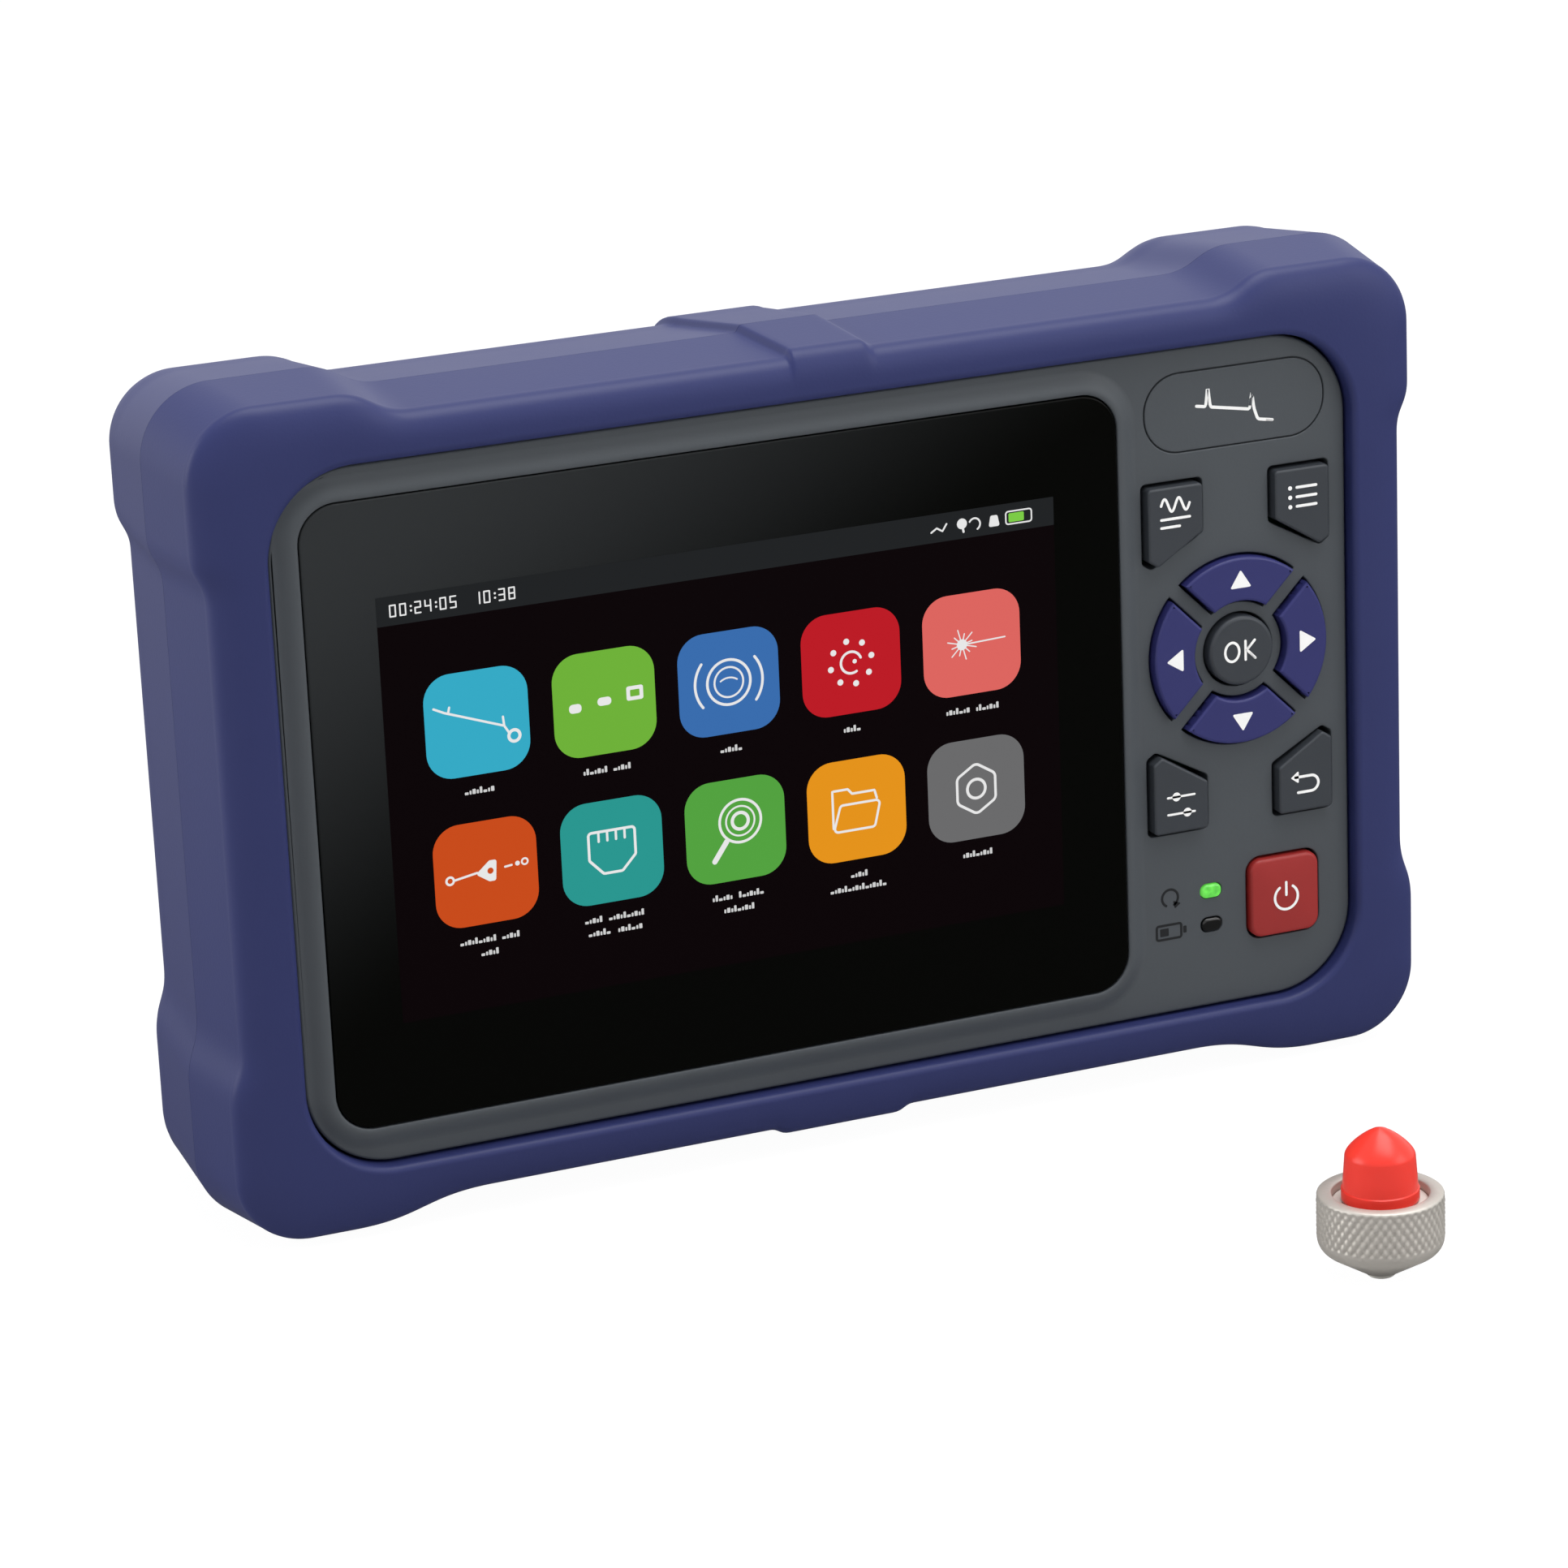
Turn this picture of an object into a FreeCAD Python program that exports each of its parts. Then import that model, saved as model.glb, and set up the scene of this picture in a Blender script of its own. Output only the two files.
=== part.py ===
import FreeCAD, Part
import math
import os

V = FreeCAD.Vector
os.makedirs("parts", exist_ok=True)

# Handheld optical time domain reflectometer, standing upright on its lower corner bumps.
# Millimetres, +Z up, front face towards -Y. Origin on the floor, midway across the width
# and the thickness of the case. "depth" runs from the front rim of the case towards the back.

# ---- case outline ----
case_thick = 39.0            # front rim to rear face
parting_depth = 15.0         # crease where the front and rear shells meet
frame_w = 9.85               # blue border beside the panel, measured at the crease
frame_h = 6.9                # and above and below it
bump_side = 1.7              # how far the corner bumps stand out sideways
bump_top = 3.0               # and upwards or downwards
corner_r = 9.5
front_lean_x = 1.7           # the front facets lean in towards the front rim
front_lean_z = 0.9
rear_lean_x = 1.1            # the rear facets lean in towards the back
rear_lean_z = 2.0
rear_facet_depth = 31.0      # where the rear edge rounding starts
front_edge_in = 2.0          # rounded front edge: inwards and backwards
front_edge_deep = 3.0
rear_edge_in = 4.5
top_bump = (30.2, 19.7)      # the waist swings out to a bump between these distances from the case's end
low_bump = (34.2, 15.2)      # the same along the underside
side_bump_up = (22.5, 15.5)  # the same on the sides, measured from the top
side_bump_down = (26.5, 17.0)
strap_height = 1.0           # raised band across the middle of the top
strap_left = (-3.6, -8.6)    # its left edge at the front and at the back
strap_right = (5.4, 3.2)
strap_step = (1.2, 2.2)      # width of its left and right steps
low_strap_height = 0.9       # softer band across the underside
low_strap = (-9.0, 6.0)
low_strap_step = 3.0
foot_high = 0.2              # flat pads under the lower bumps, on which it stands
foot_depth = (16.0, 30.0)
foot_in = (9.2, 14.6)        # from the waist inwards
wave_chords = 6              # straight lengths that follow each swing of the outline
step_chords = 3              # and each edge of the raised bands

# ---- case walls ----
side_wall = 5.2              # waist to cavity
top_wall = 3.8
cavity_r = 9.0
lip_thick = 3.7              # front rim that traps the panel
rear_wall = 6.7              # solid back, deep enough for the stand recess
gap = 0.35                   # shadow gap round panel, keys and covers

# ---- front panel ----
panel_left = 3.9             # panel beyond the glass on the left, above, below
panel_above = 4.4
panel_below = 5.2
keypad_w = 34.3              # and the keypad on the right
panel_r = 11.5
panel_flange = 1.6           # trapped rim behind the shell's lip
panel_face = 2.0             # depth of the keypad face
panel_thick = 3.5
glass_side = 3.5             # glass beyond the display module
glass_above = 7.4
glass_below = 8.0
glass_r = 5.0
glass_face = 1.0
glass_thick = 1.1
glass_fit = 0.15
gasket_thick = 0.3
shoulder = 0.7               # flat margin of the raised screen surround
shoulder_slope = 2.3         # sloping margin outside it
lcd_w = 105.5
lcd_h = 67.2
lcd_thick = 3.5
lcd_fit = 0.4
view_side = 5.9              # frame of the display module round its lit area
view_top = 5.4
view_deep = 0.1

# ---- keys ----
pad_from_edge = 16.5         # centre of the arrow pad from the panel's right edge
pad_rise = 3.8               # and above the panel's middle
pad_r = 12.9
pad_inner_r = 6.9
ok_r = 4.8
rib_half = 1.0               # diagonal ribs between the arrow keys
key_proud = 1.2
key_flange = 0.5
key_flange_thick = 0.8
key_slack = 0.1
key_travel = 0.8
key_post_half = 1.2
flange_chords = (2, 4)       # straight edges that follow the inner and outer arc of a hidden flange
cap_chords = (4, 8)          # and those of the cap itself
post_long = 1.6
fn_inner = 5.4               # four corner keys, measured from the pad's centre
fn_outer = 13.45
fn_top = 24.0
fn_low = 13.2
fn_mid = 17.4
fn_corner_r = 0.9
power_off = (6.2, -35.7)     # centre of the power key from the pad's centre
power_w = 10.4
power_h = 11.1
power_r = 1.8
power_bevel = 0.6
led_off = -4.7               # the lamps from the pad's centre
led_drop = (-33.5, -38.3)
led_w = 3.2
led_h = 2.1
led_cut = 0.55
led_proud = 0.3
oval_rise = 33.6             # label plate above the pad's centre
oval_w = 26.8
oval_h = 10.9
oval_thick = 0.5

# ---- boards and inner parts ----
switch_size = 6.0
switch_thick = 1.5
button_thick = 0.4
board_thick = 1.2
pad_board = (-17.85, 11.65, -39.8, 25.7)    # left, right, low and top edges from the pad's centre
stud_half = 1.4
stud_off = ((-15.95, 23.8), (0.0, 23.0), (-15.95, -37.8), (-1.85, -26.3))
main_depth = 14.0
main_thick = 1.6
board_gap = (4.0, 3.2)       # main board short of the cavity walls
boss_in = (8.0, 7.4)         # screw bosses from the cavity walls
boss_half = 4.0              # square bosses of the rear shell, round the screw heads
post_half = 3.2              # and the posts on the back of the panel
can_w = 40.0
can_h = 30.0
can_thick = 3.2
module_w = 25.0
module_h = 34.0
module_thick = 13.0
spool_r = 19.0
spool_in = 30.0              # its centre from the left cavity wall
spool_thick = 5.0
spool_flange = 1.0
spool_core = 12.0
round_flats = 20             # flats of the round pieces inside

# ---- battery and its cover ----
cover_w = 54.0
cover_h = 41.0
cover_r = 4.0
cover_z = 2.5
cover_thick = 2.6
battery_w = 48.0
battery_h = 35.0
battery_thick = 11.0
battery_fit = 0.5
tub_wall = 1.2
notch_r = 6.0
groove_count = 5             # finger grooves of the battery cover
groove_low = 5.0
groove_pitch = 2.2
groove_long = 18.0
groove_deep = 0.6

# ---- folding stand ----
stand_w = 84.0
stand_arm = 8.0
stand_bar = 9.0
stand_thick = 4.0
stand_low = -32.0
stand_r = 4.0                # corners of the foot
window_r = 3.0
hinge_z = 28.0
stand_fit = 0.4
pin_r = 1.5
pin_fit = 0.05
pin_deep = 3.0

# ---- port bay on the right side ----
bay_deep = 9.7               # waist to the face that the ports are screwed to
bay_depth = 25.6             # middle of the bay
bay_w = 17.0
bay_z = (-5.0, 30.5)
bay_r = 3.0
bay_wall = 2.0
port_z = (1.0, 12.75, 24.5)
port_flange = 10.4
port_flange_thick = 1.2
port_r = 4.0
port_long = 6.0
port_bore_r = 1.27
cap_wall = 0.8
cap_fit = 0.1
cap_long = 8.4
cap_flats = 24               # flats that stand in for the round of barrels and caps

# ---- charging sockets under a soft flap ----
flap_depth = (17.0, 28.0)
flap_z = (-26.0, -8.5)
flap_thick = 1.5
flap_r = 1.5
socket_depth = 22.0
usb_z = -13.6
usb_long = 9.0
usb_high = 3.3
jack_z = -21.6
jack_r = 2.8
jack_bore_r = 1.6
socket_deep = 6.5

# ---- spare port adapter with its dust cap, standing in front ----
spare_x = 39.8
spare_y = -90.6
ring_r = 8.0
ring_wall_z = 4.8
ring_top = 11.1
ring_round = 2.2
recess_r = 6.05
recess_deep = 1.25
nipple_r = 1.8
nipple_long = 0.6
core_r = 4.0
core_low = 3.0
core_fit = 0.1
tube_r = 3.1
tube_long = 5.7
spare_cap_r = 4.9
spare_cap_upper_r = 4.45
spare_cap_long = 9.5
spare_cap_gap = 0.3
spare_cap_wall_fit = 0.1
spare_cap_tip_r = 0.5
spare_flats = 36
ring_land = 0.4              # flat end of the ring round its nozzle

# ---- places that follow from the sizes above ----
glass_w = lcd_w + 2 * glass_side
glass_h = lcd_h + glass_above + glass_below
view_w = lcd_w - 2 * view_side
view_h = lcd_h - 2 * view_top
panel_w = panel_left + glass_w + keypad_w
panel_h = panel_above + glass_h + panel_below
glass_x = -panel_w / 2 + panel_left + glass_w / 2
glass_z = -panel_h / 2 + panel_below + glass_h / 2
lcd_z = glass_z - glass_h / 2 + glass_below + lcd_h / 2
waist_half_w = panel_w / 2 + frame_w
waist_half_h = panel_h / 2 + frame_h
cavity_half_w = waist_half_w - side_wall
cavity_half_h = waist_half_h - top_wall
half_thick = case_thick / 2
mid_z = waist_half_h + bump_top
foot_low = mid_z - foot_high
rear_inner = case_thick - rear_wall
panel_back = panel_face + panel_thick
top_wave = (waist_half_w - top_bump[0], waist_half_w - top_bump[1])
low_wave = (waist_half_w - low_bump[0], waist_half_w - low_bump[1])
side_wave_up = (waist_half_h - side_bump_up[0], waist_half_h - side_bump_up[1])
side_wave_down = (waist_half_h - side_bump_down[0], waist_half_h - side_bump_down[1])
pad_x = panel_w / 2 - pad_from_edge
pad_z = pad_rise
power_x = pad_x + power_off[0]
power_z = pad_z + power_off[1]
led_x = pad_x + led_off
led_z = (pad_z + led_drop[0], pad_z + led_drop[1])
oval_x = pad_x + 0.1
oval_z = pad_z + oval_rise
studs = [(pad_x + x, pad_z + z) for x, z in stud_off]
main_w = 2 * (cavity_half_w - board_gap[0])
main_h = 2 * (cavity_half_h - board_gap[1])
boss_x = cavity_half_w - boss_in[0]
boss_z = cavity_half_h - boss_in[1]
spool_x = -cavity_half_w + spool_in
bay_x = waist_half_w - bay_deep


def at(x, depth, z):
    """A point from the case's centre line: x across, depth from the front rim, z from mid height."""
    return V(x, depth - half_thick, z + mid_z)


def save(shape, node):
    shape.exportStep("parts/" + node + ".step")


def rounded_poly(points, radii, depth):
    """Closed wire through corner points in the XZ plane, each corner rounded by its own radius."""
    edges = []
    count = len(points)
    starts = []
    ends = []
    mids = []
    for i in range(count):
        p = V(points[i][0], points[i][1], 0)
        a = V(points[i - 1][0], points[i - 1][1], 0)
        b = V(points[(i + 1) % count][0], points[(i + 1) % count][1], 0)
        u = (a - p).normalize()
        w = (b - p).normalize()
        half = math.acos(max(-1.0, min(1.0, u.dot(w)))) / 2
        r = radii[i]
        run = r / math.tan(half)
        bis = (u + w).normalize()
        centre = p + bis * (r / math.sin(half))
        starts.append(p + u * run)
        ends.append(p + w * run)
        mids.append(centre - bis * r)
    for i in range(count):
        s, m, e = starts[i], mids[i], ends[i]
        if radii[i] > 0:
            edges.append(Part.Arc(at(s.x, depth, s.y), at(m.x, depth, m.y), at(e.x, depth, e.y)).toShape())
        n = starts[(i + 1) % count]
        if (n - e).Length > 1e-6:
            edges.append(Part.LineSegment(at(e.x, depth, e.y), at(n.x, depth, n.y)).toShape())
    return Part.Wire(edges)


def rounded_rect(cx, cz, w, h, r, depth):
    x0, x1, z0, z1 = cx - w / 2, cx + w / 2, cz - h / 2, cz + h / 2
    return rounded_poly([(x0, z0), (x1, z0), (x1, z1), (x0, z1)], [r] * 4, depth)


def cut_rect(cx, cz, w, h, c, depth):
    """Rectangle with its corners cut off."""
    x, z = w / 2, h / 2
    points = [(-x + c, -z), (x - c, -z), (x, -z + c), (x, z - c), (x - c, z), (-x + c, z), (-x, z - c), (-x, -z + c)]
    return Part.makePolygon([at(cx + px, depth, cz + pz) for px, pz in points + points[:1]])


def slab(wire, thick):
    return Part.Face(wire).extrude(V(0, thick, 0))


def round_wire(r, flats, place):
    """Circle of radius r drawn with short flats; place(u, v) sets each corner."""
    turn = [2 * math.pi * i / flats for i in range(flats + 1)]
    return Part.makePolygon([place(r * math.cos(a), r * math.sin(a)) for a in turn])


def rod(x, z, r, depth, long):
    """Cylinder along the depth direction."""
    return Part.makeCylinder(r, long, at(x, depth, z), V(0, 1, 0))


def box(x0, x1, d0, d1, z0, z1):
    return Part.makeBox(x1 - x0, d1 - d0, z1 - z0, at(x0, d0, z0))


def soften(shape, radius, chosen):
    """Fillet the edges for which chosen(edge) holds."""
    return shape.makeFillet(radius, [e for e in shape.Edges if chosen(e)])


def bevel(shape, width, chosen):
    """Chamfer the edges for which chosen(edge) holds."""
    return shape.makeChamfer(width, [e for e in shape.Edges if chosen(e)])


def edge_in_plane(edge, depth):
    box_ = edge.BoundBox
    y = depth - half_thick
    return abs(box_.YMin - y) < 1e-4 and abs(box_.YMax - y) < 1e-4


# ======== case outline ========
def s_curve(a, b, flat, depth, chords):
    """Swing from a to b that leaves and arrives parallel to the side it runs along."""
    (x0, z0), (x1, z1) = a, b
    points = []
    for i in range(chords + 1):
        t = i / chords
        along = 1.5 * t * (1 - t) ** 2 + 1.5 * t ** 2 * (1 - t) + t ** 3
        across = 3 * t ** 2 - 2 * t ** 3
        if flat == "x":
            points.append(at(x0 + (x1 - x0) * along, depth, z0 + (z1 - z0) * across))
        else:
            points.append(at(x0 + (x1 - x0) * across, depth, z0 + (z1 - z0) * along))
    return [Part.LineSegment(p, q).toShape() for p, q in zip(points, points[1:])]


def outline(depth, inset_x, inset_z, low_peak, inset_r):
    """Case section at one depth: waisted sides, bumped corners and the band over the middle."""
    w = waist_half_w - inset_x
    h = waist_half_h - inset_z
    px = w + bump_side
    top = h + bump_top
    low = -low_peak
    r = corner_r - inset_r
    t = depth / case_thick
    left = strap_left[0] + (strap_left[1] - strap_left[0]) * t
    right = strap_right[0] + (strap_right[1] - strap_right[0]) * t
    up = h + strap_height
    down = -h - low_strap_height
    edges = []

    def line(a, b):
        edges.append(Part.LineSegment(at(a[0], depth, a[1]), at(b[0], depth, b[1])).toShape())

    def swing(a, b, flat, chords=wave_chords):
        edges.extend(s_curve(a, b, flat, depth, chords))

    def corner(sx, sz, peak):
        cx, cz = sx * (px - r), peak - sz * r
        k = r * math.sqrt(0.5)
        ends = [(cx, peak), (cx + sx * k, cz + sz * k), (sx * px, cz)]
        if sx * sz < 0:
            ends.reverse()
        p = [at(x, depth, z) for x, z in ends]
        edges.append(Part.Arc(p[0], p[1], p[2]).toShape())

    # along the top, left to right
    line((-px + r, top), (-top_wave[1], top))
    swing((-top_wave[1], top), (-top_wave[0], h), "x")
    line((-top_wave[0], h), (left - strap_step[0], h))
    swing((left - strap_step[0], h), (left, up), "x", step_chords)
    line((left, up), (right, up))
    swing((right, up), (right + strap_step[1], h), "x", step_chords)
    line((right + strap_step[1], h), (top_wave[0], h))
    swing((top_wave[0], h), (top_wave[1], top), "x")
    line((top_wave[1], top), (px - r, top))
    corner(1, 1, top)
    # down the right side
    line((px, top - r), (px, side_wave_up[1]))
    swing((px, side_wave_up[1]), (w, side_wave_up[0]), "z")
    line((w, side_wave_up[0]), (w, -side_wave_down[0]))
    swing((w, -side_wave_down[0]), (px, -side_wave_down[1]), "z")
    line((px, -side_wave_down[1]), (px, low + r))
    corner(1, -1, low)
    # along the underside, right to left
    line((px - r, low), (low_wave[1], low))
    swing((low_wave[1], low), (low_wave[0], -h), "x")
    line((low_wave[0], -h), (low_strap[1] + low_strap_step, -h))
    swing((low_strap[1] + low_strap_step, -h), (low_strap[1], down), "x", step_chords)
    line((low_strap[1], down), (low_strap[0], down))
    swing((low_strap[0], down), (low_strap[0] - low_strap_step, -h), "x", step_chords)
    line((low_strap[0] - low_strap_step, -h), (-low_wave[0], -h))
    swing((-low_wave[0], -h), (-low_wave[1], low), "x")
    line((-low_wave[1], low), (-px + r, low))
    corner(-1, -1, low)
    # up the left side
    line((-px, low + r), (-px, -side_wave_down[1]))
    swing((-px, -side_wave_down[1]), (-w, -side_wave_down[0]), "z")
    line((-w, -side_wave_down[0]), (-w, side_wave_up[0]))
    swing((-w, side_wave_up[0]), (-px, side_wave_up[1]), "z")
    line((-px, side_wave_up[1]), (-px, top - r))
    corner(-1, 1, top)
    return Part.Wire(edges)


def quarter(steps):
    """Fractions (along, in) of a quarter round."""
    turn = [math.pi / 2 * i / steps for i in range(steps + 1)]
    return [(1 - math.cos(a), 1 - math.sin(a)) for a in turn]


# front shell: rounded rim, then a facet that widens to the crease
front_sections = []
for along, inward in quarter(2):
    front_sections.append(outline(along * front_edge_deep, front_lean_x + inward * front_edge_in,
                                  front_lean_z + inward * front_edge_in,
                                  foot_low - front_lean_z - inward * front_edge_in, inward * front_edge_in))
front_sections.append(outline(parting_depth, 0, 0, foot_low, 0))
front_outer = Part.makeLoft(front_sections, True, True)

# rear shell: a facet that narrows, flat under the lower bumps where it stands, then a round edge
rear_sections = [outline(parting_depth, 0, 0, foot_low, 0)]
rear_sections.append(outline(rear_facet_depth, rear_lean_x, rear_lean_z, foot_low, 0))
for along, inward in quarter(2)[::-1][1:]:
    rear_sections.append(outline(rear_facet_depth + (1 - along) * (case_thick - rear_facet_depth),
                                 rear_lean_x + inward * rear_edge_in, rear_lean_z + inward * rear_edge_in,
                                 foot_low - inward * rear_edge_in, inward * rear_edge_in))
rear_outer = Part.makeLoft(rear_sections, True, True)
for side in (-1, 1):
    x0, x1 = sorted((side * (waist_half_w - foot_in[0]), side * (waist_half_w - foot_in[1])))
    rear_outer = rear_outer.fuse(box(x0, x1, foot_depth[0], foot_depth[1], -mid_z, -mid_z + 2))

panel_hole = rounded_rect(0, 0, panel_w + 2 * gap, panel_h + 2 * gap, panel_r + gap, -1.0)
front_cavity = rounded_rect(0, 0, 2 * cavity_half_w, 2 * cavity_half_h, cavity_r, lip_thick)
front_shell = front_outer.cut(slab(panel_hole, lip_thick + 2))
front_shell = front_shell.cut(slab(front_cavity, parting_depth - lip_thick + 1))
save(front_shell, "front_shell")

# rear shell hollow with screw bosses, battery tub and port bay
cavity = rounded_rect(0, 0, 2 * cavity_half_w, 2 * cavity_half_h, cavity_r, parting_depth - 1)
rear_shell = rear_outer.cut(slab(cavity, rear_inner - parting_depth + 1))
bosses = [(sx * boss_x, sz * boss_z) for sx in (-1, 1) for sz in (-1, 1)]
board_back = main_depth + main_thick
for x, z in bosses:
    rear_shell = rear_shell.fuse(box(x - boss_half, x + boss_half, board_back, rear_inner + 0.5,
                                     z - boss_half, z + boss_half))

cover_seat = case_thick - cover_thick
battery_back = cover_seat - 0.3
battery_front = battery_back - battery_thick
tub_w = battery_w + 2 * battery_fit
tub_h = battery_h + 2 * battery_fit
tub = box(-tub_w / 2 - tub_wall, tub_w / 2 + tub_wall, battery_front - battery_fit - tub_wall, rear_inner + 0.5,
          cover_z - tub_h / 2 - tub_wall, cover_z + tub_h / 2 + tub_wall)
bay_mid_z = (bay_z[0] + bay_z[1]) / 2
bay_long = bay_z[1] - bay_z[0]
bay_top_depth = bay_depth - bay_w / 2
bay_block = box(bay_x - bay_wall, cavity_half_w + 1, board_back, bay_depth + bay_w / 2 + bay_wall,
                bay_z[0] - bay_wall, bay_z[1] + bay_wall)
rear_shell = rear_shell.fuse([tub, bay_block])

cuts = []
cuts.append(box(-tub_w / 2, tub_w / 2, battery_front - battery_fit, case_thick + 1,
                cover_z - tub_h / 2, cover_z + tub_h / 2))
seat = rounded_rect(0, cover_z, cover_w + 2 * gap, cover_h + 2 * gap, cover_r + gap, cover_seat)
cuts.append(slab(seat, cover_thick + 1))

# U-shaped recess of the folding stand, with pin holes in its side walls
stand_front = case_thick - stand_thick
hinge_depth = stand_front + stand_thick / 2
recess_floor = stand_front - stand_fit
arm_in = stand_w / 2 - stand_arm
recess_low = stand_low - stand_fit
recess_top = hinge_z + stand_thick / 2 + stand_fit


def stand_outer(grow, depth):
    """Outline of the stand, square at the hinge and rounded at the foot."""
    x = stand_w / 2 + grow
    low, top = stand_low - grow, hinge_z
    return rounded_poly([(-x, low), (x, low), (x, top), (-x, top)],
                        [stand_r + grow, stand_r + grow, 0, 0], depth)


def stand_window(grow, top, depth):
    """Outline of the space between the arms, open past the hinge."""
    x = arm_in + grow
    low = stand_low + stand_bar - grow
    return rounded_poly([(-x, low), (x, low), (x, top), (-x, top)],
                        [window_r + grow, window_r + grow, 0, 0], depth)


recess = slab(stand_outer(stand_fit, recess_floor), stand_thick + 2)
recess = recess.fuse(box(-stand_w / 2 - stand_fit, stand_w / 2 + stand_fit, recess_floor, case_thick + 1,
                         hinge_z - 1, recess_top))
recess = recess.cut(slab(stand_window(-stand_fit, recess_top + 1, recess_floor - 1), stand_thick + 4))
cuts.append(recess)
for side in (-1, 1):
    cuts.append(Part.makeCylinder(pin_r + pin_fit, stand_fit + pin_deep + 0.3,
                                  at(side * stand_w / 2, hinge_depth, hinge_z), V(side, 0, 0)))
# finger notch under the foot of the stand
cuts.append(rod(0, recess_low, notch_r, recess_floor, case_thick))

# port bay: rounded pocket open to the right
def side_pocket(x, d0, d1, z0, z1, r, long):
    """Rounded block along +X, for recesses in the right side."""
    pocket = box(x, x + long, d0, d1, z0, z1)
    return soften(pocket, r, lambda e: abs(e.BoundBox.XLength - long) < 1e-6)


cuts.append(side_pocket(bay_x, bay_top_depth, bay_depth + bay_w / 2, bay_z[0], bay_z[1], bay_r, 20))

# flap recess and socket holes
side_x = waist_half_w - rear_lean_x * ((flap_depth[0] + flap_depth[1]) / 2 - parting_depth) / (
    rear_facet_depth - parting_depth)
flap_back = side_x - flap_thick - 0.35
cuts.append(side_pocket(flap_back, flap_depth[0] - gap, flap_depth[1] + gap, flap_z[0] - gap, flap_z[1] + gap,
                        flap_r / 2, 10))
usb_hole = box(flap_back - 20, flap_back + 1, socket_depth - usb_high / 2, socket_depth + usb_high / 2,
               usb_z - usb_long / 2, usb_z + usb_long / 2)
cuts.append(usb_hole)
cuts.append(Part.makeCylinder(jack_r, 21, at(flap_back - 20, socket_depth, jack_z), V(1, 0, 0)))
rear_shell = rear_shell.cut(cuts)
save(rear_shell, "rear_shell")

# ======== front panel ========
flange_wire = rounded_rect(0, 0, panel_w + 2 * panel_flange, panel_h + 2 * panel_flange,
                           panel_r + panel_flange, lip_thick)
panel = slab(rounded_rect(0, 0, panel_w, panel_h, panel_r, panel_face), panel_thick)
panel = panel.fuse(slab(flange_wire, panel_back - lip_thick))
surround_top = rounded_rect(glass_x, glass_z, glass_w + 2 * shoulder, glass_h + 2 * shoulder,
                            glass_r + shoulder, glass_face)
spread = shoulder + shoulder_slope
surround_low = rounded_rect(glass_x, glass_z, glass_w + 2 * spread, glass_h + 2 * spread,
                            glass_r + spread, panel_face)
panel = panel.fuse(Part.makeLoft([surround_top, surround_low], True, True))
pocket = rounded_rect(glass_x, glass_z, glass_w + 2 * glass_fit, glass_h + 2 * glass_fit,
                      glass_r + glass_fit, glass_face - 1)
pocket_floor = glass_face + glass_thick + gasket_thick
panel = panel.cut(slab(pocket, pocket_floor - glass_face + 1))
lcd_x = glass_x
panel = panel.cut(box(lcd_x - lcd_w / 2 - lcd_fit, lcd_x + lcd_w / 2 + lcd_fit, 0, panel_back + 1,
                      lcd_z - lcd_h / 2 - lcd_fit, lcd_z + lcd_h / 2 + lcd_fit))


def sector(inner, outer, off, turn, depth, chords=None):
    """Quarter of the arrow ring: two arcs, or so many chords each, and two sides beside the diagonals."""
    def on(r, sign):
        t = math.sqrt(r * r - off * off)
        return (t + off) / math.sqrt(2), sign * (t - off) / math.sqrt(2)

    def place(p):
        c, s = math.cos(turn), math.sin(turn)
        return at(pad_x + p[0] * c - p[1] * s, depth, pad_z + p[0] * s + p[1] * c)

    if chords:
        points = []
        for r, steps, way in ((inner, chords[0], -1), (outer, chords[1], 1)):
            x, z = on(r, 1)
            half = math.atan2(z, x)
            for i in range(steps + 1):
                a = way * half * (2 * i / steps - 1)
                points.append(place((r * math.cos(a), r * math.sin(a))))
        return Part.makePolygon(points + points[:1])
    a, b, c, d = place(on(inner, -1)), place(on(outer, -1)), place(on(outer, 1)), place(on(inner, 1))
    edges = [Part.LineSegment(a, b).toShape(), Part.Arc(b, place((outer, 0)), c).toShape(),
             Part.LineSegment(c, d).toShape(), Part.Arc(d, place((inner, 0)), a).toShape()]
    return Part.Wire(edges)


def fn_wire(sx, sz, grow, depth):
    """Corner key: a rectangle with the side next to the pad cut off at a slant."""
    x0, x1 = fn_inner - grow, fn_outer + grow
    z_top, z_low, z_mid = fn_top + grow, fn_low - grow, fn_mid - grow
    points = [(x0, z_mid), (x1 - fn_corner_r * 1.5, z_low), (x1, z_low + fn_corner_r), (x1, z_top), (x0, z_top)]
    points = [(pad_x + sx * x, pad_z + sz * z) for x, z in points]
    return Part.makePolygon([at(x, depth, z) for x, z in points + points[:1]])


arrow_keys = (("key_right", 0), ("key_up", math.pi / 2), ("key_left", math.pi), ("key_down", -math.pi / 2))
corner_keys = (("key_upper_left", -1, 1), ("key_upper_right", 1, 1),
               ("key_lower_left", -1, -1), ("key_lower_right", 1, -1))
holes = []
for name, turn in arrow_keys:
    holes.append(slab(sector(pad_inner_r - gap, pad_r + gap, rib_half, turn, 0), panel_back + 1))
for name, sx, sz in corner_keys:
    holes.append(slab(fn_wire(sx, sz, gap, 0), panel_back + 1))
holes.append(rod(pad_x, pad_z, ok_r + gap, 0, panel_back + 1))
holes.append(slab(rounded_rect(power_x, power_z, power_w + 2 * gap, power_h + 2 * gap, power_r + gap, 0),
                  panel_back + 1))
for z in led_z:
    holes.append(slab(cut_rect(led_x, z, led_w, led_h, led_cut, 0), panel_back + 1))
holes.append(slab(rounded_rect(oval_x, oval_z, oval_w, oval_h, oval_h * 0.48, 0), panel_face + oval_thick))
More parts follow.
